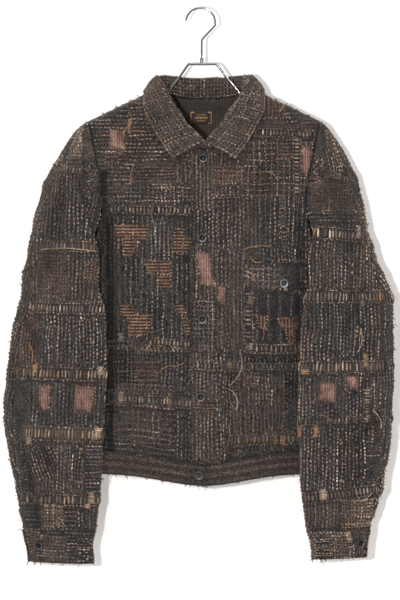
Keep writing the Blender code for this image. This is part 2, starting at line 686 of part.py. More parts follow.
# ------------------------------------------------------------- body and details
def add_body():
    """Fronts, back, neck lining and placket; returns the surfaces that patches lie on."""
    right, right_n = front_panel(-1)
    left, left_n = front_panel(1)
    back, back_n = back_panel()
    yoke = YOKE_ROW + 1
    cloth_wall("front_right_yoke", right[:yoke], right_n[:yoke], "boro_cloth")
    cloth_wall("front_right", right[yoke - 1 :], right_n[yoke - 1 :], "boro_cloth")
    cloth_wall("front_left", left, left_n, "boro_cloth")
    yoke = BACK_YOKE_ROW + 1
    cloth_wall("back_yoke", back[:yoke], back_n[:yoke], "boro_cloth")
    cloth_wall("back_body", back[yoke - 1 :], back_n[yoke - 1 :], "boro_cloth")
    inside = slice(len(BACK_TOP) - 4, len(BACK_TOP) + 3)
    lining = moved_out(back[:yoke, inside], back_n[:yoke, inside], -WALL - SEAM)
    lining_n = back_n[:yoke, inside]
    cloth_wall("neck_lining", lining, lining_n, "lining", LINING_WALL)
    placket = slice(0, 3)
    strip = moved_out(left[1:, placket], left_n[1:, placket], SEAM + PATCH_WALL)
    cloth_wall("button_placket", strip, left_n[1:, placket], "boro_patch", PATCH_WALL, sides="bottom")
    return {"front_right": (right, right_n), "front_left": (left, left_n), "back": (back, back_n)}


def add_waistband(panels):
    """One band from the left front's edge round the back to the right front's edge."""
    left, right, back = panels["front_left"], panels["front_right"], panels["back"]
    line = np.concatenate([left[0][-1], back[0][-1, 1:-1], right[0][-1]])
    out = np.concatenate([left[1][-1], back[1][-1, 1:-1], right[1][-1]])
    out = unit(out * np.array([1.0, 1.0, 0.0]))
    down = np.array([0.0, 0.0, -1.0])
    grid = np.array([line + down * BAND_HEIGHT * share for share in (0.0, 0.5, 1.0)])
    normals = np.array([out, out, out])
    cloth_wall("waistband", grid, normals, "dark_cloth")


def add_pocket(panels):
    """The pocket and its flap, each a block of the left front's grid moved out and rounded."""
    grid, normals = panels["front_left"]
    for name, spot, skin in (("chest_pocket", POCKET, "dark_cloth"), ("pocket_flap", FLAP, "boro_patch")):
        rows = with_steps(spot["top"], spot["bottom"])
        columns = with_steps(spot["first"], spot["last"])
        piece, lean = sampled(grid, rows, columns), unit(sampled(normals, rows, columns))
        down = np.sin(np.linspace(0.5, 3.0, len(rows)))
        across = np.sin(np.linspace(0, np.pi, len(columns)))
        height = PATCH_GAP + WALL + POCKET_BULGE * np.outer(down, across).clip(0)
        outer = piece + lean * height[..., None]
        cloth_wall(name, outer, lean, skin)


def add_patch(name, surface, top, bottom, first, last, skin):
    """A patch: a block of the panel's grid read finer and moved out by its own thickness."""
    grid, normals = surface
    rows, columns = with_steps(top, bottom), with_steps(first, last)
    lean = unit(sampled(normals, rows, columns))
    outer = sampled(grid, rows, columns) + lean * (PATCH_GAP + PATCH_WALL)
    cloth_wall(name, outer, lean, skin, PATCH_WALL, sides="")


def add_label(panels):
    """The woven label inside the neck, facing forwards."""
    grid, normals = panels["back"]
    middle = len(BACK_TOP) - 1
    rows = np.linspace(LABEL["top"], LABEL["bottom"], LABEL["steps"])
    columns = np.linspace(middle - LABEL["half_columns"], middle + LABEL["half_columns"], LABEL["steps"])
    lean = unit(sampled(normals, rows, columns))
    inside = WALL + SEAM + LINING_WALL + LABEL_GAP
    outer = sampled(grid, rows, columns) - lean * inside
    cloth_wall("neck_label", outer, lean, "label", LABEL_WALL, sides="")


def seat(cloth, x, z):
    """Where a button at x and z meets a cloth's front, and the normal of the disc of cloth under it."""
    mesh = bpy.data.objects[cloth].data
    tree = BVHTree.FromPolygons([v.co for v in mesh.vertices], [p.vertices for p in mesh.polygons])
    around = ((0, 0), (BUTTON_R, 0), (0, BUTTON_R), (-BUTTON_R, 0), (0, -BUTTON_R))
    hits = [tree.ray_cast(Vector((x + dx, -1.0, z + dz)), Vector((0, 1, 0)))[0] for dx, dz in around]
    point, right, above, left, below = hits
    return point, (right - left).cross(above - below).normalized()


def add_button(name, cloth, x, z):
    """A turned button on a shank of thread, standing on a cloth along its normal."""
    point, normal = seat(cloth, x, z)
    rim = [(r * BUTTON_R, 0.0, SHANK_H + h * BUTTON_H) for r, h in BUTTON_PROFILE]
    profile = rim + [(SHANK_R, 0.0, SHANK_H), (SHANK_R, 0.0, 0.0), (0.0, 0.0, 0.0)]
    mesh = bpy.data.meshes.new(name)
    mesh.from_pydata(profile, [(i, i + 1) for i in range(len(profile) - 1)], [])
    made = add_object(name, mesh, "button")
    turn = made.modifiers.new("turn", "SCREW")
    turn.axis = "Z"
    turn.steps = turn.render_steps = BUTTON_STEPS
    turn.use_merge_vertices = True
    turn.merge_threshold = 0.00001
    made.location = point + normal * BUTTON_GAP
    made.rotation_euler = normal.to_track_quat("Z", "Y").to_euler()


# ----------------------------------------------------------------------- hanger
def wire(name, points, closed=False):
    """A round wire along a line of points."""
    curve = bpy.data.curves.new(name, "CURVE")
    curve.dimensions = "3D"
    curve.bevel_depth = WIRE_R
    curve.bevel_resolution = WIRE_RESOLUTION
    curve.use_fill_caps = not closed
    spline = curve.splines.new("POLY")
    spline.points.add(len(points) - 1)
    spline.use_cyclic_u = closed
    for place, point in zip(spline.points, points):
        place.co = (*point, 1.0)
    return add_object(name, curve, "chrome")


def add_hook():
    first, last = math.radians(HOOK_TIP_ANGLE), math.radians(HOOK_END_ANGLE)
    centre_z = WIRE_R - HOOK_R
    arc = [
        (HOOK_R * math.cos(a), 0.0, centre_z + HOOK_R * math.sin(a))
        for a in np.linspace(first, last, 22)
    ]
    stem = [(STEM_X + 0.004, 0.0, STEM_TOP + 0.005), (STEM_X, 0.0, STEM_TOP), (STEM_X, 0.0, STEM_BOTTOM)]
    return wire("hanger_hook", arc + stem)


def hanger_side():
    """Half of the hanger from its middle to its end, as x from the jacket's middle and z."""
    under = [(x, ridge(np.array(x)) - HANGER_DEPTH_BELOW_RIDGE) for x in np.linspace(0.080, HANGER_END, 8)]
    return [*HANGER_NECK, *[(x, float(z)) for x, z in under]]


def add_hanger_frame():
    """Front and back wires side by side, bent round into each other at both ends."""
    half = hanger_side()
    (last_x, last_z), (end_x, end_z) = half[-2:]
    slope = (end_z - last_z) / (end_x - last_x)
    bend = np.radians([60, 30, 0, -30, -60])
    loop = []
    for side in (1, -1):
        run = [(side * x, -side * HANGER_HALF_WIDTH, z) for x, z in half]
        turn = [
            (
                side * (end_x + HANGER_HALF_WIDTH * math.cos(a)),
                -side * HANGER_HALF_WIDTH * math.sin(a),
                end_z + slope * HANGER_HALF_WIDTH * math.cos(a),
            )
            for a in bend
        ]
        home = [(x, -y, z) for x, y, z in reversed(run[1:])]
        loop += run + turn + home
    return wire("hanger_frame", [(x + hanger_shift(x), y, z) for x, y, z in loop], closed=True)


def hanger_shift(x):
    """The top bar is centred on the hook, and the arms on the jacket."""
    return STEM_X + (MIDDLE - STEM_X) * min(1.0, abs(x) / NECK_SIDE[0])


def add_ferrule():
    length = FERRULE_TOP - FERRULE_BOTTOM
    mesh = bmesh.new()
    bmesh.ops.create_cone(
        mesh, cap_ends=True, segments=FERRULE_STEPS, radius1=FERRULE_R, radius2=FERRULE_R, depth=length
    )
    for face in mesh.faces:
        face.smooth = len(face.verts) == 4
    data = bpy.data.meshes.new("hanger_ferrule")
    mesh.to_mesh(data)
    mesh.free()
    made = add_object("hanger_ferrule", data, "chrome")
    made.location = (STEM_X, 0.0, (FERRULE_TOP + FERRULE_BOTTOM) / 2)


# ------------------------------------------------------------------------ build
for old in list(bpy.data.objects):
    bpy.data.objects.remove(old)
JACKET = bpy.data.collections.new("boro_jacket")
bpy.context.scene.collection.children.link(JACKET)

surfaces = add_body()
add_waistband(surfaces)
add_pocket(surfaces)
add_collar()
add_label(surfaces)
for sleeve, rows, side in (("sleeve_right", RIGHT_SLEEVE, -1), ("sleeve_left", LEFT_SLEEVE, 1)):
    surfaces |= add_sleeve(sleeve, rows, side)
for cuff, rows, side in (("cuff_right", RIGHT_CUFF, -1), ("cuff_left", LEFT_CUFF, 1)):
    add_cuff(cuff, rows, side)
for name, panel, *place in (*PATCHES, *SLEEVE_PATCHES):
    add_patch(name, surfaces[panel], *place)
for button in BUTTONS:
    add_button(*button)
add_hook()
add_ferrule()
add_hanger_frame()
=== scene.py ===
# %% [markdown]
# # A patched work jacket on a wire hanger
# The jacket is made from many small pieces of worn cotton, held together by
# thousands of hand-sewn running stitches. Each panel could be sculpted or
# draped by a simulation. Here every panel is a surface worked out from sizes,
# because the panels must lie exactly on the solids that the frame gives.

# %% Start: the frame, and what every cell uses
import json
import math
from types import SimpleNamespace

import bpy
import numpy as np
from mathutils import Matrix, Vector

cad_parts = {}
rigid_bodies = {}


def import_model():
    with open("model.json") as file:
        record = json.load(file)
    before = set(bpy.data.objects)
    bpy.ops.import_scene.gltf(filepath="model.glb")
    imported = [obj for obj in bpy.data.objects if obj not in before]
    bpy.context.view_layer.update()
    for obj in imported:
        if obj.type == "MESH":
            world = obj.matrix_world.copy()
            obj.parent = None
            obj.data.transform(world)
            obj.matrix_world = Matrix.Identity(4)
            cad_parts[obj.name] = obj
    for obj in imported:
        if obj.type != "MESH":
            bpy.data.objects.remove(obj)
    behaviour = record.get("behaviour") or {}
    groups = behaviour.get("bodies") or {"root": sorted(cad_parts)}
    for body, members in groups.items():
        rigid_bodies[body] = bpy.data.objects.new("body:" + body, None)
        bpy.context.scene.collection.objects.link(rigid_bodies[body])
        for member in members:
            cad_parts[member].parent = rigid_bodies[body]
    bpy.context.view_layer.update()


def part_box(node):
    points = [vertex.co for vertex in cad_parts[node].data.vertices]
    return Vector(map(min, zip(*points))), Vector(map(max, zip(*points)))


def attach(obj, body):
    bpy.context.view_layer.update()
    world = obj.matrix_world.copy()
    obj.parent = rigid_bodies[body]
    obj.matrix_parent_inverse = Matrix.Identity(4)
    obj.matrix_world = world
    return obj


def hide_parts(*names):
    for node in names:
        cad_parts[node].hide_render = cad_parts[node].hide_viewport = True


for leftover in list(bpy.data.objects):
    bpy.data.objects.remove(leftover)
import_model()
MM = 0.001
chance = np.random.default_rng(23)

# %% [markdown]
# ## The shape of the garment
# On the real jacket two fronts and a back hang from a wire hanger: flat at the
# shoulders, and rounder towards the hem. Height and width give each point, and
# one formula gives how far the cloth stands out there, so panels that are
# built apart still meet. The sizes are those of the solids.

# %% Torso sizes and helpers
MIDDLE = 0.006
NECK_SIDE, SHOULDER, UNDERARM, SEAM_BOTTOM = (0.0745, -0.1315), (0.186, -0.180), (0.203, -0.411), -0.712
BAND_HEIGHT, RIDGE_ROUND, SIDE_ROUNDNESS = 0.035, 0.013, 2.6
HALF_RING, EDGE, YOKE_ROW, BACK_YOKE_ROW = 10, 0.0205, 6, 4
TORSO = np.array([  # height, half width
    (-0.790, 0.186), (-0.712, 0.191), (-0.650, 0.197), (-0.550, 0.203), (-0.450, 0.205),
    (-0.411, 0.203), (-0.378, 0.179), (-0.340, 0.165), (-0.2955, 0.164), (-0.2585, 0.170),
    (-0.2146, 0.179), (-0.180, 0.186),
])
SHOULDER_LINE = [NECK_SIDE, (0.098, -0.138), (0.122, -0.1492), (0.145, -0.1604), (0.167, -0.171), SHOULDER]
FRONT_TOP = np.array([
    (-0.0205, -0.229), (0, -0.2285), (0.0205, -0.222), (0.04, -0.206), (0.055, -0.185), (0.066, -0.16),
    *SHOULDER_LINE,
])
BACK_TOP = np.array([(0, -0.144), (0.022, -0.1435), (0.044, -0.141), (0.062, -0.137), *SHOULDER_LINE])
FRONT_LOW = (-0.0205, 0.0, 0.0205, 0.034, 0.048, 0.061, 0.082, 0.104, 0.125, 0.148, 0.189)
BACK_LOW = (0.0, 0.026, 0.052, 0.078, 0.103, 0.127, 0.150, 0.171, 0.190)
FREE_COLUMN, WIDEST = 0.125, 0.205
DROOP, DROOP_START, DROOP_WIDTH = 0.018, -0.556, 0.085
LOW_ROWS = (-0.4335, -0.456, -0.490, -0.523, -0.556, -0.595, -0.635, -0.675, SEAM_BOTTOM)
# Grooves and ridges: x and z of the top, x and z of the bottom, width, height
FRONT_FOLDS = (
    (0.040, -0.500, 0.049, -0.735, 0.008, -0.0050), (0.062, -0.480, 0.066, -0.735, 0.020, 0.0035),
    (-0.060, -0.430, -0.085, -0.735, 0.026, 0.0040), (-0.105, -0.380, -0.125, -0.735, 0.022, -0.0040),
    (0.115, -0.560, 0.128, -0.735, 0.022, -0.0035), (-0.120, -0.200, -0.095, -0.330, 0.030, -0.0030),
    (0.120, -0.200, 0.100, -0.330, 0.030, -0.0030),
)
BACK_FOLDS = (
    (-0.055, -0.330, -0.070, -0.735, 0.024, 0.0050), (0.050, -0.360, 0.062, -0.735, 0.024, 0.0045),
    (0.000, -0.420, 0.004, -0.735, 0.022, -0.0040), (-0.125, -0.300, -0.130, -0.735, 0.026, -0.0045),
    (0.120, -0.300, 0.132, -0.735, 0.026, -0.0045),
)
print("widest place of the body in mm", round(TORSO[:, 1].max() * 2000))


# %% The curve of the body
def smooth(t):
    """0 below 0, 1 above 1 and 3t^2 - 2t^3 between them."""
    t = np.clip(t, 0, 1)
    return t * t * (3 - 2 * t)


def unit(v):
    """A vector divided by its length."""
    return v / np.maximum(np.linalg.norm(v, axis=-1, keepdims=True), 1e-12)


def half_width(z):
    """Half the body's width at height z, between the rows of TORSO."""
    return np.interp(z, TORSO[:, 0], TORSO[:, 1])


def ridge(x):
    """Height of the shoulder line, which runs on upwards inside the neck."""
    line = np.interp(x, *np.array(SHOULDER_LINE).T)
    return np.where(x < NECK_SIDE[0], NECK_SIDE[1] + 0.30 * (NECK_SIDE[0] - x), line)


def folds(x, z, table):
    """Each fold is height * e^-(d/width)^2, with d the distance from a straight line, faded at its ends."""
    total = np.zeros_like(x)
    for x_top, z_top, x_bottom, z_bottom, width, height in table:
        along = (z_top - z) / (z_top - z_bottom)
        line = x_top + (x_bottom - x_top) * along
        total += (
            height * smooth(along * 4) * smooth((1.15 - along) * 6) * np.exp(-(((x - line) / width) ** 2))
        )
    return total


def reach(x, z, swell, swell_reach):
    """How far the cloth stands out: a quarter circle over the shoulder plus swell * (1 - e^-depth)."""
    away = np.abs(x)
    depth = np.maximum(ridge(away) - z, 0.0)
    near = np.clip(depth, 0, RIDGE_ROUND)
    fullness = (
        RIDGE_ROUND * np.sqrt(1 - (1 - near / RIDGE_ROUND) ** 2)
        + swell * (1 - np.exp(-depth / swell_reach))
    )
    share = np.clip(away / half_width(z), 0, 1)
    down = np.clip((SHOULDER[1] - z) / (SHOULDER[1] - UNDERARM[1]), 0, 1)
    return fullness * (1 - down**2 + down**2 * np.sqrt(1 - share**SIDE_ROUNDNESS))


def front_y(x, z):
    """The front's y at x and z: its reach forwards, and its folds."""
    quiet = 1 - np.clip(np.abs(x) / half_width(z), 0, 1) ** 8  # no folds at the side seams
    return -reach(x, z, 0.052, 0.12) - folds(x, z, FRONT_FOLDS) * quiet


def back_y(x, z):
    """The back's y at x and z: its reach backwards, and its folds."""
    quiet = 1 - np.clip(np.abs(x) / half_width(z), 0, 1) ** 8  # no folds at the side seams
    return reach(x, z, 0.050, 0.05) + folds(x, z, BACK_FOLDS) * quiet


def droop(x, z):
    """The front hem hangs lower in the middle: the most at the seam, times e^-(x/width)^2."""
    return DROOP * smooth((DROOP_START - z) / (DROOP_START - SEAM_BOTTOM)) * np.exp(-((x / DROOP_WIDTH) ** 2))


ring_angles = np.radians(np.linspace(0, 180, HALF_RING + 1))
armhole_z = (SHOULDER[1] + UNDERARM[1]) / 2 + (SHOULDER[1] - UNDERARM[1]) / 2 * np.cos(ring_angles)
row_heights = np.concatenate([armhole_z, LOW_ROWS])
print("shoulder to hem in mm", round((ridge(0.1) - SEAM_BOTTOM + BAND_HEIGHT) * 1000))


# %% Fronts and back: their grids
def low_columns(columns, z):
    """x of each column at height z: straight inside, following the armhole outside."""
    x = np.array([*columns, WIDEST])
    squeeze = (half_width(z) - FREE_COLUMN) / (WIDEST - FREE_COLUMN)
    return np.where(x > FREE_COLUMN, FREE_COLUMN + (x - FREE_COLUMN) * squeeze, x)


def half_panel(top, columns, last_yoke_row):
    """Half a panel from neckline and shoulder to waistband: rows blend from the top's line to level ones."""
    yoke_drop = row_heights[0] - row_heights[last_yoke_row]
    down = np.clip((row_heights[0] - row_heights) / yoke_drop, 0, 1)[:, None]
    level = np.array([low_columns(columns, z) for z in row_heights])
    start = low_columns(columns, row_heights[last_yoke_row])
    x = np.where(down < 1, top[:, 0] + (start - top[:, 0]) * smooth(down), level)
    z = np.where(down < 1, top[:, 1] + (row_heights[last_yoke_row] - top[:, 1]) * down, row_heights[:, None])
    x[:, -1], z[:, -1] = half_width(row_heights), row_heights
    return x, z


def gaps(points, axis=0):
    """Distances between neighbouring points along an axis."""
    return np.linalg.norm(np.diff(points, axis=axis), axis=-1)


def run_of(steps):
    """Distance from the start at each point, from the steps between them."""
    return np.concatenate([[0], np.cumsum(steps)])


def spread(n, at):
    """Weights of a smooth curve through n grid lines, read at the places in at (Catmull-Rom)."""
    i = np.clip(np.floor(at).astype(int), 0, n - 2)
    t = at - i
    four = np.stack(
        [-(t**3) + 2 * t**2 - t, 3 * t**3 - 5 * t**2 + 2, -3 * t**3 + 4 * t**2 + t, t**3 - t**2]
    ) / 2
    full = np.zeros((len(at), n + 2))
    for k in range(4):
        full[np.arange(len(at)), i + k] += four[k]
    full[:, 1] += 2 * full[:, 0]
    full[:, 2] -= full[:, 0]
    full[:, n] += 2 * full[:, n + 1]
    full[:, n - 1] -= full[:, n + 1]
    return full[:, 1 : n + 1]


def even(grid, axis, step):
    """Fractional grid lines that lie about one step apart, measured along the cloth."""
    run = run_of(gaps(grid, axis).mean(axis=1 - axis))
    count = max(2, round(run[-1] / step) + 1)
    return np.interp(np.linspace(0, run[-1], count), run, np.arange(len(run)))


def finer(grid, step, columns_step=None):
    """The same surface with its points about one step apart."""
    rows, columns = even(grid, 0, step), even(grid, 1, columns_step or step)
    return np.einsum("ai,ijk,bj->abk", spread(grid.shape[0], rows), grid, spread(grid.shape[1], columns))


def normals_of(grid):
    """Outward normals, the mean of the faces at each point: rows run down and columns to the right."""
    faces = unit(np.cross(grid[1:, 1:] - grid[:-1, :-1], grid[:-1, 1:] - grid[1:, :-1]))
    total = np.zeros_like(grid)
    for rows in (slice(None, -1), slice(1, None)):
        for columns in (slice(None, -1), slice(1, None)):
            total[rows, columns] += faces
    return unit(total)


STEP, FINE_STEP = 0.004, 0.003  # between points of the cloth
UNDERLAP = 0.003
x, z = half_panel(FRONT_TOP, FRONT_LOW, YOKE_ROW)
front_half = np.stack([x, np.zeros_like(x), z - droop(x, z)], axis=2)
x, z = half_panel(BACK_TOP, BACK_LOW, BACK_YOKE_ROW)
back_half = np.stack([x, np.zeros_like(x), z], axis=2)
back_whole = np.concatenate([back_half[:, ::-1], back_half[:, 1:] * (-1, 1, 1)], axis=1)


def underlap(x, side):
    """The wearer's right front lies 3 mm deeper where the left front laps over it."""
    return UNDERLAP * smooth((0.046 - side * x) / (0.046 - EDGE)) if side < 0 else 0.0


def front_grid(side, first, last):
    """One front between two of its rows: side is -1 for the wearer's right."""
    grid = finer(front_half[first : last + 1], STEP) * (side, 1, 1)
    grid[..., 1] = front_y(grid[..., 0], grid[..., 2]) + underlap(grid[..., 0], side)
    return grid[:, :: side] + (MIDDLE, 0, 0)


def back_grid(first, last):
    """The back between two of its rows, seen from behind."""
    grid = finer(back_whole[first : last + 1], STEP)
    grid[..., 1] = back_y(grid[..., 0], grid[..., 2])
    return grid + (MIDDLE, 0, 0)


LAST = len(row_heights) - 1
grids = {
    "front_right_yoke": front_grid(-1, 0, YOKE_ROW),
    "front_right": front_grid(-1, YOKE_ROW, LAST),
    "front_left": front_grid(1, 0, LAST),
    "back_yoke": back_grid(0, BACK_YOKE_ROW),
    "back_body": back_grid(BACK_YOKE_ROW, LAST),
}
print({name: grid.shape[:2] for name, grid in grids.items()})

# %% [markdown]
# ## Sleeves, cuffs and collar
# A sleeve is a tube of cloth that starts as the body's own armhole and becomes a
# flat oval, turned a little forwards. It could be a cylinder bent with a lattice.
# A table of sections is plainer: each row says where the sleeve's outer and inner
# edges are, and a squared oval joins them.


# %% Sleeves
def read_table(text):
    """Rows of a table by name: a line of one word is a name, and each line below it is one of its rows."""
    rows = {}
    for words in map(str.split, text.strip().splitlines()):
        if len(words) == 1:
            rows[words[0]] = here = []
        else:
            here.append([word if word[0].isalpha() else float(word) for word in words])
    return rows


# Sections from the top down: outer x, outer z, inner x, inner z, outer y, inner y, depth of the front,
# depth of the back, lean forwards, and the angle of the seam in degrees
SLEEVES = read_table("""
right
 0.197  -0.188  0.211  -0.421 -0.002 -0.006  0.046  0.034  0.15  0
 0.218  -0.218  0.202  -0.444 -0.005 -0.022  0.047  0.036  0.40  4
 0.245  -0.266  0.188  -0.469 -0.010 -0.036  0.045  0.031  0.55  8
 0.264  -0.318  0.168  -0.492 -0.014 -0.055  0.040  0.028  0.50 14
 0.279  -0.366  0.158  -0.512 -0.017 -0.066  0.035  0.027  0.20 20
 0.286  -0.412  0.157  -0.530 -0.019 -0.069  0.031  0.026  0.00 26
 0.292  -0.456  0.156  -0.556 -0.020 -0.068  0.028  0.025 -0.15 32
 0.304  -0.502  0.156  -0.584 -0.020 -0.067  0.026  0.025 -0.20 38
 0.313  -0.549  0.157  -0.614 -0.020 -0.066  0.026  0.024 -0.22 42
 0.318  -0.598  0.159  -0.646 -0.020 -0.065  0.026  0.023 -0.22 44
 0.321  -0.648  0.160  -0.680 -0.020 -0.063  0.025  0.023 -0.22 42
 0.317  -0.698  0.162  -0.712 -0.020 -0.060  0.024  0.022 -0.20 38
 0.306  -0.748  0.164  -0.755 -0.021 -0.056  0.023  0.021 -0.18 32
 0.297  -0.797  0.168  -0.799 -0.022 -0.052  0.021  0.020 -0.16 26
 0.290  -0.837  0.173  -0.838 -0.023 -0.048  0.019  0.018 -0.15 20
left
 0.196  -0.189  0.211  -0.421 -0.002 -0.006  0.046  0.034  0.15  0
 0.216  -0.221  0.202  -0.444 -0.005 -0.022  0.047  0.036  0.40  4
 0.236  -0.268  0.188  -0.469 -0.010 -0.036  0.045  0.031  0.55  8
 0.253  -0.319  0.168  -0.492 -0.014 -0.055  0.040  0.028  0.50 16
 0.264  -0.366  0.158  -0.512 -0.017 -0.066  0.035  0.027  0.20 24
 0.280  -0.412  0.155  -0.530 -0.019 -0.069  0.031  0.026  0.00 32
 0.298  -0.455  0.153  -0.556 -0.020 -0.068  0.028  0.026 -0.15 40
 0.303  -0.500  0.151  -0.584 -0.020 -0.067  0.027  0.025 -0.20 44
 0.304  -0.548  0.150  -0.614 -0.020 -0.066  0.026  0.024 -0.22 44
 0.302  -0.597  0.149  -0.646 -0.020 -0.065  0.026  0.023 -0.22 44
 0.301  -0.646  0.149  -0.680 -0.020 -0.063  0.025  0.023 -0.22 42
 0.299  -0.695  0.151  -0.712 -0.020 -0.060  0.024  0.022 -0.20 38
 0.291  -0.746  0.153  -0.755 -0.021 -0.056  0.023  0.021 -0.18 32
 0.277  -0.795  0.158  -0.797 -0.022 -0.052  0.021  0.020 -0.16 26
 0.265  -0.832  0.162  -0.834 -0.023 -0.048  0.019  0.018 -0.15 20
cuff_right
0.2895 -0.8374 0.1735 -0.8386 -0.023 -0.048 0.0187 0.0177 -0.15 20
 0.284  -0.862 0.1755  -0.864 -0.023 -0.047 0.0185 0.0175 -0.15 20
 0.280  -0.888  0.176  -0.890 -0.023 -0.046 0.0190 0.0180 -0.15 20
cuff_left
0.2645 -0.8324 0.1625 -0.8346 -0.023 -0.048 0.0187 0.0177 -0.15 20
 0.260  -0.857  0.168  -0.859 -0.023 -0.047 0.0185 0.0175 -0.15 20
 0.258  -0.881  0.172  -0.883 -0.023 -0.046 0.0190 0.0180 -0.15 20
""")
print("sections", {part: len(rows) for part, rows in SLEEVES.items()})

# %% Sleeve tubes
CUFF_ROUNDNESS, LAP_LIFT = 2.2, 0.0028


def sleeve_ring(row, side, angles, roundness):
    """A squared oval: along = |cos|^(2/n), across = |sin|^(2/n), between the outer and inner edges."""
    outer_x, outer_z, inner_x, inner_z, outer_y, inner_y, front, back, lean, _ = row
    outer = np.array([side * outer_x, outer_y, outer_z])
    inner = np.array([side * inner_x, inner_y, inner_z])
    forward = unit(np.array([-side * lean, -math.sqrt(1 - lean**2), 0.0]))
    along, across = (np.sign(s) * np.abs(s) ** (2 / roundness) for s in (np.cos(angles), np.sin(angles)))
    swell = np.where(across > 0, front, back) * across
    straight = (outer + inner) / 2 + along[:, None] * (outer - inner) / 2
    return straight + swell[:, None] * forward + (MIDDLE, 0, 0)


def sleeve_grid(table, side):
    """The armhole, then every section, each half a turn for the front and half for the back."""
    wide = side * half_width(armhole_z)
    front, back = (
        np.stack([wide + MIDDLE, y(wide, armhole_z), armhole_z], axis=1) for y in (front_y, back_y)
    )
    rings = [np.concatenate([front, back[-2::-1]])]
    for step, row in enumerate(table):
        seam, roundness = math.radians(row[-1]), CUFF_ROUNDNESS + 1.4 * max(0.0, 1 - step / 7)
        turn = [
            np.linspace(seam, math.pi, HALF_RING + 1),
            np.linspace(math.pi, 2 * math.pi + seam, HALF_RING + 1)[1:],
        ]
        rings.append(sleeve_ring(row, side, np.concatenate(turn), roundness))
    return np.array(rings)[:, :: -side]


for name, side in (("right", -1), ("left", 1)):
    whole = sleeve_grid(SLEEVES[name], side)
    first, second = whole[:, : HALF_RING + 1], whole[:, HALF_RING:]
    grids[f"sleeve_{name}_front"] = finer(first if side < 0 else second, STEP)
    grids[f"sleeve_{name}_back"] = finer(second if side < 0 else first, STEP)


print("points round a sleeve", 2 * HALF_RING + 1)


# %% Cuffs
def cuff_grid(table, side, start=math.radians(22), lap=math.radians(34)):
    """A strip round the wrist whose outer end is lifted over its start."""
    turns = np.linspace(start - lap, start + 2 * math.pi, 23)
    grid = np.array([sleeve_ring(row, side, turns, CUFF_ROUNDNESS) for row in table])
    outward = (grid - grid[:, :-2].mean(axis=1, keepdims=True)) * (1, 1, 0)
    lifted = smooth((turns - (start + 2 * math.pi - 1.8 * lap)) / (0.7 * lap))
    return finer((grid + unit(outward) * (LAP_LIFT * lifted)[None, :, None])[:, :: -side], FINE_STEP)


for name, side in (("cuff_right", -1), ("cuff_left", 1)):
    grids[name] = cuff_grid(SLEEVES[name], side)
print({name: grid.shape[:2] for name, grid in grids.items() if "sleeve" in name or "cuff" in name})

# %% Collar
# neck, which counts the neckline's points from the back's middle; x, y and z of the roll; and of the edge
COLLAR = (  # an edge without y lies on the body
    (0, 0.000, 0.045, -0.109, 0.000, None, -0.160), (1, 0.024, 0.041, -0.1085, 0.029, None, -0.160),
    (2, 0.048, 0.034, -0.107, 0.057, None, -0.158), (3, 0.066, 0.022, -0.106, 0.083, None, -0.150),
    (3.5, 0.0735, 0.012, -0.107, 0.092, 0.0185, -0.1385), (4, 0.0765, 0.000, -0.108, 0.096, 0.0, -0.1325),
    (4.5, 0.0735, -0.016, -0.116, 0.0975, -0.0155, -0.1425), (5, 0.068, -0.031, -0.126, 0.097, None, -0.164),
    (6, 0.055, -0.044, -0.148, 0.085, None, -0.192), (7, 0.038, -0.052, -0.176, 0.070, None, -0.217),
    (8, 0.018, -0.056, -0.200, 0.058, None, -0.236), (9, 0.001, -0.056, -0.216, 0.049, None, -0.244),
)
COLLAR_LIFT, ROLL_HALF, NECK_RISE = 0.005, 0.0032, 0.0018


def collar_section(base, roll, edge):
    """Up the stand, over the fold and down the fall."""
    out = unit(np.array([edge[0] - base[0], edge[1] - base[1], 0.0]))
    inside, outside = roll - out * ROLL_HALF - (0, 0, ROLL_HALF), roll + out * ROLL_HALF - (0, 0, ROLL_HALF)
    return [base, (base + inside) / 2, inside, roll, outside, (outside + edge) / 2 + out * 0.001, edge]


def collar_grid():
    """Sections from the wearer's right front edge round the back to the left one."""
    back = [(x, float(back_y(x, z)), z) for x, z in BACK_TOP[:4]]
    front = [(x, float(front_y(x, z)), z) for x, z in FRONT_TOP[5:0:-1]]
    neck = np.array([*back, (NECK_SIDE[0], 0.0, NECK_SIDE[1]), *front])
    half = []
    for place, *roll, edge_x, edge_y, edge_z in COLLAR:
        base = np.array([np.interp(place, np.arange(len(neck)), neck[:, k]) for k in range(3)])
        if edge_y is None:
            if roll[1] > 0:
                edge_y = back_y(edge_x, edge_z) + COLLAR_LIFT
            else:
                edge_y = front_y(edge_x, edge_z) - COLLAR_LIFT
        edge = np.array([edge_x, float(edge_y), edge_z])
        base = base + NECK_RISE * unit(unit((base - edge) * (1, 1, 0)) + (0, 0, 1))
        half.append(collar_section(base, np.array(roll), edge))
    half = np.array(half)
    return np.concatenate([half[:0:-1] * (-1, 1, 1), half]).transpose(1, 0, 2) + (MIDDLE, 0, 0)


grids["collar"] = finer(collar_grid(), FINE_STEP)[:, ::-1]
print("collar", grids["collar"].shape[:2])

# %% [markdown]
# ## Band, button strip, pocket, flap, lining and label
# These lie on the panels or hang from their lower edge. Each could be projected
# onto the cloth with Shrinkwrap. Reading the same formula for the cloth and adding
# the piece's own thickness gives them the panel's shape and no gap.


# %% Pieces that follow the panels
def laid_on(surface, x, z, lift):
    """Points of the front or the back at x and z of the jacket, moved out by lift."""
    grid = np.stack([x + MIDDLE, surface(x, z), z], axis=2)
    return grid + normals_of(grid) * np.asarray(lift)[..., None]


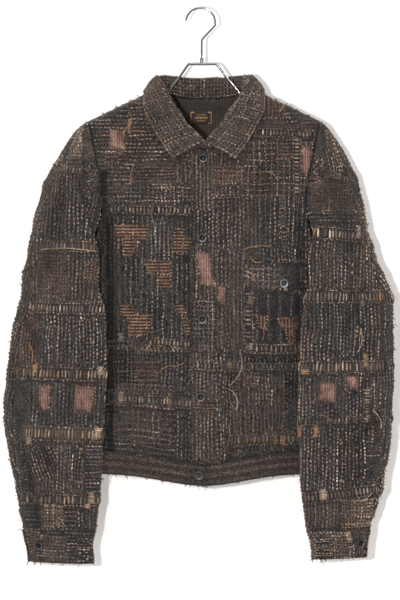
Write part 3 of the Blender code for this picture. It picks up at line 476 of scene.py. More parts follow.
def block(left, right, top, bottom, step=STEP):
    """x and z of a block of cloth; top and bottom may be functions of x."""
    a = np.linspace(0, 1, max(3, round(abs(right - left) / step) + 1))
    x = left + (right - left) * a
    high = top(x) if callable(top) else np.full_like(x, top)
    low = bottom(x) if callable(bottom) else np.full_like(x, bottom)
    b = np.linspace(0, 1, max(3, round(float((high - low).mean()) / step) + 1))[:, None]
    return np.broadcast_to(x, (len(b), len(x))).copy(), high + (low - high) * b


def pillow(x):
    """A low rise over a block of cloth: 3 mm times a sine down and a sine across."""
    down, across = np.linspace(0.5, 3.0, len(x)), np.linspace(0, np.pi, x.shape[1])
    return 0.003 * np.outer(np.sin(down), np.sin(across)).clip(0)


strip = finer(front_half[1:, :3], STEP)
grids["button_placket"] = laid_on(front_y, strip[..., 0], strip[..., 2], 0.0016)

rim = np.concatenate([grids["front_left"][-1], grids["back_body"][-1, 1:-1], grids["front_right"][-1]])
grids["waistband"] = rim - np.linspace(0, BAND_HEIGHT, 10)[:, None, None] * np.array([0.0, 0.0, 1.0])

POCKET_LEFT, POCKET_RIGHT = 0.061, 0.172
x, z = block(
    POCKET_LEFT, POCKET_RIGHT, -0.4555, lambda x: -0.556 - 0.004 * np.sin((x - POCKET_LEFT) / 0.111 * np.pi)
)
grids["chest_pocket"] = laid_on(front_y, x, z, 0.0029 + pillow(x))
x, z = block(
    POCKET_LEFT, POCKET_RIGHT, -0.411, lambda x: -0.4548 + 0.016 * np.clip(1 - (x - POCKET_LEFT) / 0.02, 0, 1)
)
grids["pocket_flap"] = laid_on(front_y, x, z, 0.0031 + pillow(x))

inside = finer(back_whole[: BACK_YOKE_ROW + 1, 5:12], STEP)
grids["neck_lining"] = laid_on(back_y, inside[..., 0], inside[..., 2], -0.0024)
x, z = block(0.0125, -0.0225, -0.162, -0.1815, FINE_STEP)
grids["neck_label"] = laid_on(back_y, x, z, -0.0042)
print("waistband round the hem in mm", round(float(gaps(rim).sum()) * 1000))

# %% [markdown]
# ## Creases and puckers
# Hand-quilted cloth never lies smooth: rows of stitches draw it in, and the body
# of the jacket falls in soft troughs. Sculpting would do it. A table of creases,
# placed one by one, and a sum of slow waves for the puckers keep every run alike.

# %% Creases, one by one
# x and z of the top, x and z of the bottom, width, height, all in metres
CREASES = read_table("""
front
-0.142 -0.300 -0.141 -0.540 0.006 -0.0050
0.158 -0.300 0.156 -0.540 0.005 -0.0036
0.041 -0.475 0.046 -0.560 0.006 -0.0028
0.046 -0.560 0.040 -0.640 0.007 -0.0034
0.040 -0.630 0.043 -0.730 0.006 -0.0030
0.034 -0.500 0.036 -0.720 0.009 0.0022
-0.030 -0.300 -0.026 -0.470 0.008 -0.0016
-0.020 -0.460 -0.024 -0.720 0.006 -0.0014
-0.130 -0.500 -0.105 -0.660 0.012 -0.0024
-0.075 -0.560 -0.066 -0.720 0.010 0.0022
-0.150 -0.330 -0.140 -0.520 0.010 -0.0026
0.150 -0.560 0.120 -0.700 0.012 -0.0022
0.070 -0.590 0.082 -0.720 0.010 -0.0020
0.105 -0.590 0.100 -0.730 0.012 0.0022
-0.110 -0.190 -0.085 -0.300 0.014 -0.0016
0.120 -0.190 0.090 -0.300 0.014 -0.0016
0.020 -0.260 0.052 -0.400 0.016 0.0018
-0.045 -0.260 -0.062 -0.420 0.016 0.0018
-0.170 -0.600 -0.120 -0.720 0.012 0.0024
0.165 -0.420 0.140 -0.560 0.012 -0.0018
back
-0.090 -0.240 -0.070 -0.520 0.016 -0.0026
0.085 -0.240 0.070 -0.560 0.016 -0.0028
0.020 -0.300 0.026 -0.700 0.014 0.0026
-0.030 -0.380 -0.034 -0.730 0.012 -0.0024
0.120 -0.460 0.096 -0.730 0.014 0.0030
-0.140 -0.420 -0.110 -0.730 0.014 0.0030
-0.160 -0.330 -0.150 -0.500 0.010 -0.0026
0.160 -0.330 0.150 -0.520 0.010 -0.0026
0.055 -0.560 0.050 -0.730 0.010 -0.0026
-0.075 -0.600 -0.080 -0.730 0.010 0.0020
sleeve_right
-0.215 -0.260 -0.245 -0.420 0.014 -0.0030
-0.180 -0.330 -0.215 -0.460 0.012 0.0026
-0.292 -0.470 -0.250 -0.560 0.010 -0.0030
-0.285 -0.600 -0.230 -0.680 0.010 -0.0026
-0.175 -0.520 -0.205 -0.640 0.010 -0.0024
-0.262 -0.690 -0.210 -0.760 0.010 -0.0028
-0.205 -0.700 -0.225 -0.830 0.010 0.0022
-0.270 -0.740 -0.262 -0.835 0.008 -0.0026
-0.190 -0.650 -0.180 -0.780 0.008 -0.0022
-0.240 -0.420 -0.226 -0.520 0.012 0.0024
sleeve_left
0.205 -0.250 0.240 -0.390 0.014 -0.0030
0.190 -0.330 0.220 -0.460 0.012 0.0026
0.275 -0.430 0.225 -0.520 0.010 -0.0030
0.295 -0.560 0.245 -0.620 0.010 -0.0034
0.300 -0.640 0.235 -0.700 0.012 -0.0034
0.290 -0.690 0.252 -0.800 0.010 0.0034
0.180 -0.560 0.205 -0.690 0.010 -0.0024
0.215 -0.700 0.200 -0.830 0.010 0.0022
0.250 -0.740 0.225 -0.830 0.010 -0.0028
0.285 -0.460 0.275 -0.560 0.008 0.0030
""")
RELIEF_OF = {
    **dict.fromkeys(("front_right_yoke", "front_right", "front_left", "button_placket"), "front"),
    **dict.fromkeys(("chest_pocket", "pocket_flap"), "front"),
    **dict.fromkeys(("back_yoke", "back_body"), "back"),
    **dict.fromkeys(("sleeve_right_front", "sleeve_right_back"), "sleeve_right"),
    **dict.fromkeys(("sleeve_left_front", "sleeve_left_back"), "sleeve_left"),
}
print("creases", {part: len(rows) for part, rows in CREASES.items()})

# %% Puckers
wave_seed = np.random.default_rng(5)
WAVES = [
    (unit(wave_seed.normal(size=3)), wave_seed.uniform(0.75, 1.35), wave_seed.uniform(0, 6.3))
    for _ in range(18)
]


def ripple(points, size):
    """The mean of 18 sine waves in all directions, each about size long; about -1 to 1."""
    total = sum(np.sin((points @ way) * (2 * np.pi / (size * long)) + start) for way, long, start in WAVES)
    return total / math.sqrt(len(WAVES)) * 0.9


def relief(name, points):
    """Height of creases and puckers at points of a piece."""
    height = 0.0014 * ripple(points, 0.050) + 0.0008 * ripple(points, 0.021)
    if name in RELIEF_OF:
        height = height + folds(points[..., 0], points[..., 2], CREASES[RELIEF_OF[name]])
    return height


print("waves of the puckers", len(WAVES))

# %% Painted shadow in folds, gaps and under the collar
# Width of a painted shadow line, how dark it is, and x and z of its places from the top down
PAINTED_SHADOW_LINES = read_table("""
front
0.0100 0.97 -0.155 -0.270 -0.154 -0.335 -0.153 -0.385 -0.147 -0.46 -0.143 -0.53 -0.143 -0.64 -0.146 -0.74
0.0036 0.70 0.171 -0.30 0.166 -0.36 0.163 -0.45 0.160 -0.53
sleeve
0.0085 0.60 -0.302 -0.57 -0.298 -0.62 -0.287 -0.68 -0.276 -0.74 -0.257 -0.82
0.0036 0.80 0.271 -0.640 0.279 -0.669 0.292 -0.709 0.274 -0.741
""")
collar_edge = np.concatenate([grids["collar"][-1, ::5], grids["collar"][::3, 0], grids["collar"][::3, -1]])
collar_edge = collar_edge[collar_edge[:, 1] < 0][:, [0, 2]]


def painted_shadows(name, points):
    """Share of colour left by painted shadow in folds and gaps and under the collar: 1 - dark *
    e^-(d/width)^2.
    """
    kind, left = name.split("_")[0], np.ones(points.shape[:-1])
    if kind == "front":
        # the fronts darker towards the hem
        left = 1 - 0.22 * smooth((-0.52 - points[..., 2]) / 0.06)
        # painted shadow under the collar's edge
        near = (points[..., 2] > -0.27) & (points[..., 1] < 0)
        apart = np.linalg.norm(points[near][:, None, [0, 2]] - collar_edge, axis=2).min(axis=1)
        left[near] *= 1 - 0.78 * np.exp(-((apart / 0.0055) ** 2))
    # painted shadow lines in the gaps beside the sleeves and in folds at their outer edges
    for width, dark, *line in PAINTED_SHADOW_LINES.get(kind, ()):
        x, z = np.reshape(line, (-1, 2))[::-1].T
        away = points[..., 0] - np.interp(points[..., 2], z, x)
        inside = (points[..., 2] > z[0] - 0.01) & (points[..., 2] < z[-1] + 0.01) & (points[..., 1] < 0)
        left = left * (1 - dark * inside * np.exp(-((away / width) ** 2)))
    return left


def painted_crease_shade(name, points):
    """Painted shade and highlight of creases as a share of colour: troughs are darker and ridges a little
    paler.
    """
    table = CREASES.get(RELIEF_OF.get(name, name), ())
    return np.clip(1 + 170 * folds(points[..., 0], points[..., 2], table), 0.40, 1.16)


print("dark lines", sum(map(len, PAINTED_SHADOW_LINES.values())))


# %% Settling each piece
def from_border(points):
    """Distance in from the nearest side of a grid, in metres along the cloth."""
    v, u = run_of(gaps(points).mean(axis=1)), run_of(gaps(points, 1).mean(axis=0))
    return np.minimum(np.minimum(v, v[-1] - v)[:, None], np.minimum(u, u[-1] - u)[None, :])


UNDERARM_FOLD, CARRIED_IN = -0.390, 0.017  # height of the fold under the arm, and the sleeve's way past it


def past_underarm(points):
    """A sleeve's front carried in where it hangs past the fold under the arm, and less round about."""
    x, y, z = np.moveaxis(points, -1, 0)
    share = smooth((0.222 - np.abs(x - MIDDLE)) / 0.045) * smooth((-0.030 - y) / 0.018)
    share = share * np.exp(-(((z - UNDERARM_FOLD) / 0.043) ** 2))
    return points - np.stack([CARRIED_IN * np.sign(x) * share, 0 * x, 0 * x], axis=-1)


def settled(name, points):
    """The grid with its relief, which dies out at seams, where a shallow trough runs."""
    if name.startswith("sleeve"):
        points = past_underarm(points)
    normals = normals_of(points)
    inward = from_border(points)
    height = relief(name, points) * smooth(inward / 0.014)
    if name in RELIEF_OF and name not in ("chest_pocket", "pocket_flap", "button_placket"):
        height = height - 0.0007 * np.exp(-((inward / 0.0035) ** 2))
    moved = points + normals * height[..., None]
    return moved, normals_of(moved)


least_light = np.round(painted_crease_shade("collar", grids["collar"]).min(), 2)
print("creases of the collar leave", least_light, "of the light at least")


# %% Reading cloth in its own metres
def running(points):
    """Distance along each row from its first point."""
    return np.concatenate([np.zeros((len(points), 1)), np.cumsum(gaps(points, 1), axis=1)], axis=1)


BEYOND, ROW_KEY = 9.0, 10.0  # further than any cloth reaches, and what keeps the rows' keys apart, in metres


class Cloth:
    """A piece that is read in its own metres: u to the right along each row, and v down."""

    def __init__(self, points, normals, v=None, keep=None, u=None, there=None, facing=-1):
        """keep: which places are on the piece; there: which points are real; facing: -1 towards the front."""
        self.points, self.normals, self.keep, self.facing = points, normals, keep, facing
        run = running(points)
        self.u = run - run[:, [run.shape[1] // 2]] if u is None else u
        self.present = np.ones(run.shape, bool) if there is None else there
        self.low = np.where(self.present, self.u, BEYOND).min(axis=1)
        self.high = np.where(self.present, self.u, -BEYOND).max(axis=1)
        self.v = run_of(gaps(points).mean(axis=1)) if v is None else v
        self.key = (self.u + ROW_KEY * np.arange(len(points))[:, None]).ravel()

    def column(self, row, u):
        """The fractional column of u in whole rows."""
        count = self.u.shape[1]
        k = np.clip(np.searchsorted(self.key, u + ROW_KEY * row) - 1, row * count, row * count + count - 2)
        low, high = self.key[k], self.key[k + 1]
        return k - row * count + (u + ROW_KEY * row - low) / np.maximum(high - low, 1e-9)

    def read(self, u, v):
        """Points, normals and whether they are on the piece, for arrays of u and v."""
        count = self.points.shape[:2]
        s = np.interp(v, self.v, np.arange(count[0]))
        i = np.clip(np.floor(s).astype(int), 0, count[0] - 2)
        f = s - i
        t = self.column(i, u) * (1 - f) + self.column(i + 1, u) * f
        j = np.clip(np.floor(t).astype(int), 0, count[1] - 2)
        g = t - j
        on = (t >= 0) & (t <= count[1] - 1) & (v >= self.v[0]) & (v <= self.v[-1])
        f, g = f[..., None], np.clip(g, 0, 1)[..., None]
        found = [
            (a[i, j] * (1 - g) + a[i, j + 1] * g) * (1 - f)
            + (a[i + 1, j] * (1 - g) + a[i + 1, j + 1] * g) * f
            for a in (self.points, self.normals)
        ]
        if self.keep is not None:
            on &= self.keep(found[0], v)
        return found[0], unit(found[1]), on

    def find(self, x, z):
        """u and v of the points nearest to x and z, as seen from straight in front or behind."""
        x, z = np.atleast_1d(x), np.atleast_1d(z)
        all_x, all_z = self.points[..., 0].ravel(), self.points[..., 2].ravel()
        apart = (all_x - x[:, None]) ** 2 + (all_z - z[:, None]) ** 2
        apart = apart + 0.0004 * (self.normals[..., 1].ravel() * self.facing < -0.2) + ~self.present.ravel()
        i, j = np.unravel_index(apart.argmin(axis=1), self.points.shape[:2])
        near, beside = self.points[i, j], self.points[i, np.minimum(j + 1, self.points.shape[1] - 1)]
        sense = np.where(beside[:, 0] < near[:, 0], -1.0, 1.0)
        right, up = (np.clip(d, -STEP, STEP) for d in (x - near[:, 0], z - near[:, 2]))
        return self.u[i, j] + sense * right, self.v[i] - up


strip_width = running(grids["button_placket"])[0, -1]
print("the button strip is", round(strip_width * 1000, 1), "mm wide along its top row")


# %% Sleeves read along level rows
def level_cloth(points, normals, facing):
    """The same surface read along level rows, each column at even heights, and u and v of its own points."""
    z = np.minimum.accumulate(points[..., 2], axis=0)
    levels = np.arange(z.max(), z.min(), -STEP)
    columns = range(z.shape[1])
    parts = [a[..., k] for a in (points, normals) for k in range(3)]
    found = np.array([[np.interp(-levels, -z[:, j], part[:, j]) for j in columns] for part in parts])
    places, facings = found[:3].transpose(2, 1, 0), unit(found[3:].transpose(2, 1, 0))
    there = (levels[:, None] <= z[0] + 0.002) & (levels[:, None] >= z[-1] - 0.002)
    shown, x, run = there & (facings[..., 1] * facing > 0.15), places[..., 0], running(places)
    straight = (levels < -0.45) & (levels > -0.80)
    middle = (np.where(shown, x, BEYOND).min(axis=1) + np.where(shown, x, -BEYOND).max(axis=1)) / 2
    axis = np.polyval(np.polyfit(levels[straight], middle[straight], 1), levels)
    nearest = (np.abs(x - axis[:, None]) + 5 * ~shown).argmin(axis=1)
    rows = np.arange(len(levels))
    zero = run[rows, nearest] - facing * (axis - x[rows, nearest])
    u = run - zero[:, None]
    cloth = Cloth(places, facings, -levels, lambda p, v: np.abs(p[..., 2] + v) < 0.003, u, there, facing)
    own_u = np.stack([np.interp(-z[:, j], -levels, u[:, j]) for j in columns], axis=1)
    return cloth, own_u.ravel(), -z.ravel()


sleeve = grids["sleeve_right_front"]
print("level rows of a sleeve", len(level_cloth(sleeve, normals_of(sleeve), -1)[0].v))


# %% The torso read as one map
def top_line(table):
    """Whether a point is below a panel's top line."""
    return lambda points: points[..., 2] < np.interp(np.abs(points[..., 0] - MIDDLE), *table.T)


def within_sides(points):
    """Whether a point is a millimetre or more inside the side seams."""
    return np.abs(points[..., 0] - MIDDLE) < half_width(points[..., 2]) - 0.001


def torso_cloth(name, surface, left, right, keep):
    """A map of one side of the torso: x runs evenly to the right, and rows droop with the hem."""
    columns = np.arange(left, right, STEP if right > left else -STEP)
    x, z = np.meshgrid(columns, np.arange(-0.125, -0.7125, -STEP))
    level = z[:, 0].copy()
    x = np.clip(x, -half_width(z) * 0.999, half_width(z) * 0.999)
    z = z - (droop(x, z) if surface is front_y else 0)
    points = np.stack([x + MIDDLE, surface(x, z), z], axis=2)
    points[..., 1] += underlap(x, -1) if name == "front_right" else 0
    normals = normals_of(points)
    points = points + normals * relief(name, points)[..., None]
    return Cloth(points, normals_of(points), -level, keep, facing=-1 if surface is front_y else 1)


cloths = {
    "front_right": torso_cloth(
        "front_right", front_y, -0.207, 0.001,
        lambda p, v: top_line(FRONT_TOP)(p) & within_sides(p) & (p[..., 0] < MIDDLE - EDGE + 0.001),
    ),
    "front_left": torso_cloth(
        "front_left", front_y, -0.0205, 0.207, lambda p, v: top_line(FRONT_TOP)(p) & within_sides(p)
    ),
    "back": torso_cloth(
        "back_body", back_y, 0.207, -0.207, lambda p, v: top_line(BACK_TOP)(p) & within_sides(p)
    ),
}
print("read in metres:", {name: cloth.points.shape[:2] for name, cloth in cloths.items()})

# %% [markdown]
# ## Colours and cloth finishes
# The ground is charcoal and brown cotton, faded unevenly. Brown, orange-striped
# and pink scraps lie on it. An image could carry all this, but a node material
# with the cloth's own metres as its UV map gives a weave of the right size, and a
# colour painted on the mesh's points gives each block of cloth its own shade.


# %% Colours
def linear(red, green, blue):
    """A colour written 0 to 255 as the linear values a shader wants: ((c + 0.055) / 1.055)^2.4."""
    c = np.array([red, green, blue]) / 255
    return np.where(c <= 0.04045, c / 12.92, ((c + 0.055) / 1.055) ** 2.4)


GROUND = {
    "black": linear(28, 29, 33), "char": linear(34, 34, 38), "brown": linear(46, 40, 38),
    "grey": linear(45, 45, 48), "tan": linear(61, 54, 50), "rust": linear(56, 45, 40),
    "pink": linear(92, 74, 70), "smoke": linear(38, 37, 40), "hem": linear(52, 44, 39),
}
THREAD = {  # each named colour is a mixture: share and colour
    "dull": (
        (0.46, linear(143, 124, 109)), (0.23, linear(98, 91, 87)),
        (0.22, linear(190, 167, 145)), (0.09, linear(152, 114, 90)),
    ),
    "tan": (
        (0.50, linear(170, 145, 123)), (0.20, linear(121, 106, 95)),
        (0.19, linear(222, 195, 166)), (0.11, linear(174, 128, 98)),
    ),
    "cream": ((0.60, linear(188, 166, 144)), (0.40, linear(152, 133, 116))),
    "orange": ((0.60, linear(170, 122, 90)), (0.40, linear(130, 98, 79))),
    "rust": ((0.50, linear(150, 112, 90)), (0.50, linear(116, 97, 86))),
    "dark": ((0.60, linear(80, 74, 71)), (0.40, linear(104, 93, 86))),
    "gold": ((0.70, linear(178, 138, 96)), (0.30, linear(142, 114, 84))),
    # black serves only the painted shadow below each band
    "black": ((1.0, linear(24, 24, 27)),),
}
print("ground shades", len(GROUND), "thread mixtures", len(THREAD))


# %% Node helpers
def rgba(colour):
    """A grey level, or three values, as the four that a socket takes."""
    return (*np.broadcast_to(colour, 3), 1)


def node_tools(tree):
    """Functions that each add one node to a tree and give back what comes out of it."""

    def node(kind, inputs=(), **settings):
        """A node whose inputs are linked to sockets or set to values."""
        added = tree.nodes.new(f"ShaderNode{kind}")
        for key, value in settings.items():
            setattr(added, key, value)
        for key, value in dict(inputs).items():
            if isinstance(value, bpy.types.NodeSocket):
                tree.links.new(value, added.inputs[key])
            else:
                added.inputs[key].default_value = rgba(value) if isinstance(value, np.ndarray) else value
        return added

    def mix(share, a, b, kind="MIX"):
        return node("Mix", {0: share, 6: a, 7: b}, data_type="RGBA", blend_type=kind).outputs[2]

    def times(colour, *layers, share=1.0):
        """A colour multiplied by one layer after another."""
        for layer in layers:
            colour = mix(share, colour, layer, "MULTIPLY")
        return colour

    def noise(where, scale, detail=3.0, rough=0.6):
        inputs = {"Vector": where, "Scale": scale, "Detail": detail, "Roughness": rough}
        return node("TexNoise", inputs).outputs["Fac"]

    def ramp(value, *stops):
        """Greys or colours by value, from stops in rising order."""
        added = node("ValToRGB", {"Fac": value})
        for at, _ in stops[2:]:
            added.color_ramp.elements.new(at)
        for element, (at, colour) in zip(added.color_ramp.elements, stops):
            element.position, element.color = at, rgba(colour)
        return added.outputs["Color"]

    def level(kind, a, b=0.0):
        """One Math node: a sum, product, comparison or wave of levels."""
        return node("Math", {0: a, 1: b}, operation=kind).outputs[0]

    def bump(height, strength, distance):
        return node("Bump", {"Height": height, "Strength": strength, "Distance": distance}).outputs["Normal"]

    return SimpleNamespace(
        node=node, mix=mix, times=times, noise=noise, ramp=ramp, level=level, bump=bump, link=tree.links.new,
        raised=lambda wave: level("MULTIPLY_ADD", wave, 0.5),  # a wave from -1 to 1 moved to 0 to 1
        uv=lambda: node("UVMap", uv_map="cloth").outputs[0],
        place=lambda: node("TexCoord").outputs["Object"],
        shade=lambda: node("VertexColor", layer_name="shade").outputs["Color"],
    )


print("a mid grey, as a socket takes it:", [float(value) for value in rgba(0.5)])


# %% A material, and its weave
def new_material(name, roughness, sheen=0.0, metal=0.0):
    """A material with its Principled shader, and its node tools; finish takes the colour and the normal."""
    made = bpy.data.materials.new(name)
    made.use_nodes = True
    t = node_tools(made.node_tree)
    sockets = made.node_tree.nodes["Principled BSDF"].inputs
    settings = {"Roughness": roughness, "Specular IOR Level": 0.25, "Metallic": metal}
    if sheen:
        settings |= {"Sheen Weight": sheen, "Sheen Roughness": 0.5, "Sheen Tint": (0.9, 0.82, 0.75, 1)}
    for key, value in settings.items():
        sockets[key].default_value = value

    def finish(colour, normal, rough=None):
        for key, value in (("Base Color", colour), ("Normal", normal), ("Roughness", rough)):
            if value is not None:
                t.link(value, sockets[key])
        return made

    t.finish = finish
    return made, t


def waves_of(t, uv, across, down):
    """The weave: sin(2 pi u * across) and sin(2 pi v * down), both counts per metre."""
    split = t.node("SeparateXYZ", {0: uv})
    turns = [
        t.level("MULTIPLY", split.outputs[k], rate * 2 * math.pi) for k, rate in ((0, across), (1, down))
    ]
    return [t.level("SINE", turn) for turn in turns]


def streaks(t, uv, along, across):
    """Fine uneven lines: noise stretched along u or v."""
    scaled = t.node("VectorMath", {0: uv, 1: (along, across, 1.0)}, operation="MULTIPLY").outputs[0]
    return t.noise(scaled, 1.0, 3, 0.65)


print("900 threads a metre lie", round(1000 / 900, 2), "mm apart")


# %% Quilted cotton
def quilted_cloth(name, dark, fade, weave=900):
    """Worn cotton: painted shade, a ridge under each row of sewing, streaks along it, rubbed high spots."""
    _, t = new_material(name, 0.92, sheen=0.12)
    uv, place, shade = t.uv(), t.place(), t.shade()
    rows = t.node("Attribute", attribute_name="rows")
    part = t.node("SeparateXYZ", {0: rows.outputs["Color"]})
    shares = part.outputs[2], rows.outputs["Alpha"]
    sewn = t.level("ADD", *shares)
    ridges = [t.raised(t.level("COSINE", t.level("MULTIPLY", part.outputs[k], 2 * math.pi))) for k in (0, 1)]
    ridge = t.level("MAXIMUM", *(t.level("MULTIPLY", r, share) for r, share in zip(ridges, shares)))
    lines = streaks(t, uv, 620.0, 150.0), streaks(t, uv, 150.0, 620.0)
    across_share = t.level("DIVIDE", shares[1], t.level("MAXIMUM", sewn, 0.01))
    streak = t.node("Mix", {0: across_share, 2: lines[0], 3: lines[1]}).outputs[0]
    # painted highlight on the ridge under each row of sewing and painted shade between rows, beside the bump
    swell = t.level("ADD", ridge, t.level("MULTIPLY", streak, 0.5))
    swell = t.ramp(swell, (0.25, 0.42), (0.75, 1.0), (1.25, 1.55))
    colour = t.times(shade, swell, share=t.level("MINIMUM", sewn, 1.0))
    blotch = t.ramp(t.noise(place, 38, 5, 0.62), (0.30, dark), (0.72, 1.30))
    fibre = t.ramp(streak, (0.38, 0.30), (0.50, 0.9), (0.64, 2.1))
    grain = t.ramp(t.noise(place, 560, 2, 0.6), (0.38, 0.35), (0.50, 0.9), (0.62, 1.9))
    colour = t.times(colour, blotch, fibre, grain)
    lit = t.ramp(shade, (0.001, 0.04), (0.011, 1.0))
    # pale rubbed spots at random, as the cotton wears
    wear_and_painted_light = t.ramp(t.noise(place, 95, 4, 0.7), (0.56, 0), (0.80, fade))
    fleck = t.ramp(t.noise(place, 700, 2, 0.5), (0.58, 0), (0.68, 0.6))
    for spots, pale_shade in ((wear_and_painted_light, linear(124, 110, 100)), (fleck, linear(146, 130, 116))):
        colour = t.mix(t.level("MULTIPLY", spots, lit), colour, pale_shade)
    height, weave_height = ridge, t.level("ADD", *waves_of(t, uv, weave, weave))
    for layer, share in ((streak, 1.1), (weave_height, 0.10), (t.noise(place, 260, 4, 0.75), 1.2)):
        height = t.level("ADD", height, t.level("MULTIPLY", layer, share))
    return t.finish(colour, t.bump(height, 0.9, 0.0011))


MATERIALS = {
    "boro_cloth": quilted_cloth("quilted cotton", 0.55, 0.34),
    "boro_patch": quilted_cloth("brown cotton", 0.60, 0.40),
    "dark_cloth": quilted_cloth("charcoal cotton", 0.66, 0.16, weave=1100),
}
MATERIALS["rust_cloth"] = MATERIALS["boro_patch"]
print("cotton finishes:", sorted(MATERIALS))


# %% Scraps, lining and thread
def orange_stripe(name, lines, bars, bar_depth, turned=False):
    """Orange-brown lines on dark cotton, faded in places, with thin dark lines across them."""
    _, t = new_material(name, 0.9, sheen=0.1)
    place = t.place()
    waves = waves_of(t, t.uv(), *((lines, bars) if turned else (bars, lines)))
    down, across = waves if turned else waves[::-1]
    line = t.ramp(t.raised(down), (0.40, 0), (0.66, 1))
    fade = t.ramp(t.noise(place, 70, 4, 0.6), (0.30, 0.35), (0.62, 1))
    orange = t.mix(t.noise(place, 160, 3), linear(106, 78, 63), linear(168, 124, 98))
    colour = t.mix(t.times(line, fade), linear(44, 37, 35), orange)
    bar = t.ramp(t.raised(across), (0.10, 1 - bar_depth), (0.42, 1))
    grain = t.ramp(t.noise(place, 420, 3, 0.7), (0.36, 0.5), (0.64, 1.5))
    height = t.level("ADD", down, t.noise(place, 300, 3))
    return t.finish(t.times(colour, t.shade(), bar, grain), t.bump(height, 0.5, 0.0006))


def pink_cotton():
    """Faded pink cotton with fine lines running down, darker towards worn places."""
    _, t = new_material("faded pink cotton", 0.92, sheen=0.1)
    place = t.place()
    across, _ = waves_of(t, t.uv(), 250, 700)
    base = t.mix(t.noise(place, 55, 4), linear(76, 58, 53), linear(166, 128, 115))
    lines = t.ramp(t.raised(across), (0.15, 0.55), (0.60, 1.05))
    fibre = t.ramp(t.noise(place, 380, 3, 0.7), (0.36, 0.5), (0.64, 1.55))
    height = t.level("ADD", across, t.noise(place, 300, 3))
    return t.finish(t.times(base, t.shade(), lines, fibre), t.bump(height, 0.5, 0.0006))


def striped_lining():
    """Smooth dark cotton with fine paler stripes running down."""
    _, t = new_material("striped lining", 0.85)
    across, _ = waves_of(t, t.uv(), 230, 900)
    stripe = t.ramp(t.raised(across), (0.45, linear(50, 44, 40)), (0.85, linear(67, 59, 54)))
    cloudy = t.ramp(t.noise(t.place(), 120, 3), (0.3, 0.85), (0.7, 1.1))
    return t.finish(t.times(stripe, cloudy), t.bump(across, 0.25, 0.0003))


def sewing_thread():
    """Matt cotton thread in the colour painted on it, with dirt in patches."""
    _, t = new_material("sewing thread", 0.9, sheen=0.15)
    place = t.place()
    dirt = t.ramp(t.noise(place, 60, 4, 0.65), (0.32, 0.55), (0.62, 1.12))
    twist = t.ramp(t.noise(place, 620, 2, 0.6), (0.38, 0.5), (0.62, 1.5))
    return t.finish(t.times(t.shade(), dirt, twist), t.bump(t.noise(place, 1500, 2), 0.4, 0.0002))


MATERIALS["stripe_across"] = orange_stripe("orange striped cotton", 196, 150, 0.30)
MATERIALS["stripe_down"] = orange_stripe("orange striped cotton, turned", 172, 70, 0.35, True)
MATERIALS["pink_cloth"] = pink_cotton()
MATERIALS["lining"] = striped_lining()
MATERIALS["thread"] = sewing_thread()
print("finishes:", sorted(MATERIALS))


# %% Meshes from arrays
def mesh_object(name, points, faces, material, uv=None, shade=None, rows=None):
    """One object from arrays of points and faces; uv is per point, and so are the painted shade and rows."""
    mesh = bpy.data.meshes.new(name)
    faces = np.asarray(faces)
    mesh.vertices.add(len(points))
    mesh.vertices.foreach_set("co", np.asarray(points, np.float32).ravel())
    mesh.loops.add(faces.size)
    mesh.loops.foreach_set("vertex_index", faces.ravel().astype(np.int32))
    mesh.polygons.add(len(faces))
    mesh.polygons.foreach_set("loop_start", np.arange(0, faces.size, faces.shape[1], dtype=np.int32))
    mesh.polygons.foreach_set("use_smooth", np.ones(len(faces), bool))
    mesh.update(calc_edges=True)
    if uv is not None:
        layer = mesh.uv_layers.new(name="cloth")
        layer.uv.foreach_set("vector", np.asarray(uv, np.float32)[faces.ravel()].ravel())
    if shade is not None:
        shade = np.column_stack([shade, np.ones(len(shade))])
    for label, values in (("shade", shade), ("rows", rows)):
        if values is not None:
            layer = mesh.color_attributes.new(label, "FLOAT_COLOR", "POINT")
            layer.data.foreach_set("color", values.astype(np.float32).ravel())
    made = bpy.data.objects.new(name, mesh)
    bpy.context.scene.collection.objects.link(made)
    made.data.materials.append(MATERIALS[material])
    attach(made, "root")
    return made


def cells(rows, columns):
    """Corner numbers of a grid's cells, anticlockwise when rows run down and columns to the right."""
    i = np.arange(rows * columns).reshape(rows, columns)
    return np.stack([i[:-1, :-1], i[1:, :-1], i[1:, 1:], i[:-1, 1:]], axis=-1).reshape(-1, 4)


def border(rows, columns):
    """Point numbers round a grid, anticlockwise from the top left corner."""
    i = np.arange(rows * columns).reshape(rows, columns)
    return np.concatenate([i[:-1, 0], i[-1, :-1], i[:0:-1, -1], i[0, :0:-1]])


def shell_arrays(grid, normals, thickness):
    """A closed sheet: the grid, the grid moved in by the thickness, and a rim between them."""
    rows, columns = grid.shape[:2]
    count = rows * columns
    edge = border(rows, columns)
    ahead = np.roll(edge, -1)
    rim = np.stack([edge, edge + count, ahead + count, ahead], axis=1)
    front = cells(rows, columns)
    points = np.concatenate([grid.reshape(-1, 3), (grid - normals * thickness).reshape(-1, 3)])
    return points, np.concatenate([front, front[:, ::-1] + count, rim])


def halves(quads):
    """Two triangles for each face of four corners."""
    return np.concatenate([quads[:, [0, 1, 2]], quads[:, [0, 2, 3]]])


def copies(pattern, corners, count):
    """The faces of one thread again for each of many, every copy's corner numbers after the last one's."""
    return (pattern[None] + corners * np.arange(count)[:, None, None]).reshape(-1, 3)


nine = np.zeros((3, 3, 3))
print("a shell of 3 by 3 points has", len(shell_arrays(nine, nine, 1)[1]), "faces")

# %% [markdown]
# ## Where each kind of cloth and sewing lies
# Boro grows block by block: each block has its own ground and its own direction of
# sewing. It could be painted by hand. A table is easier to change: each row gives
# a block's sides as seen from in front, in millimetres from the hook, then
# the ground, the kind of sewing, the distance between its rows and its thread. A
# later row lies over an earlier one. The hidden backs have a plan of their own.

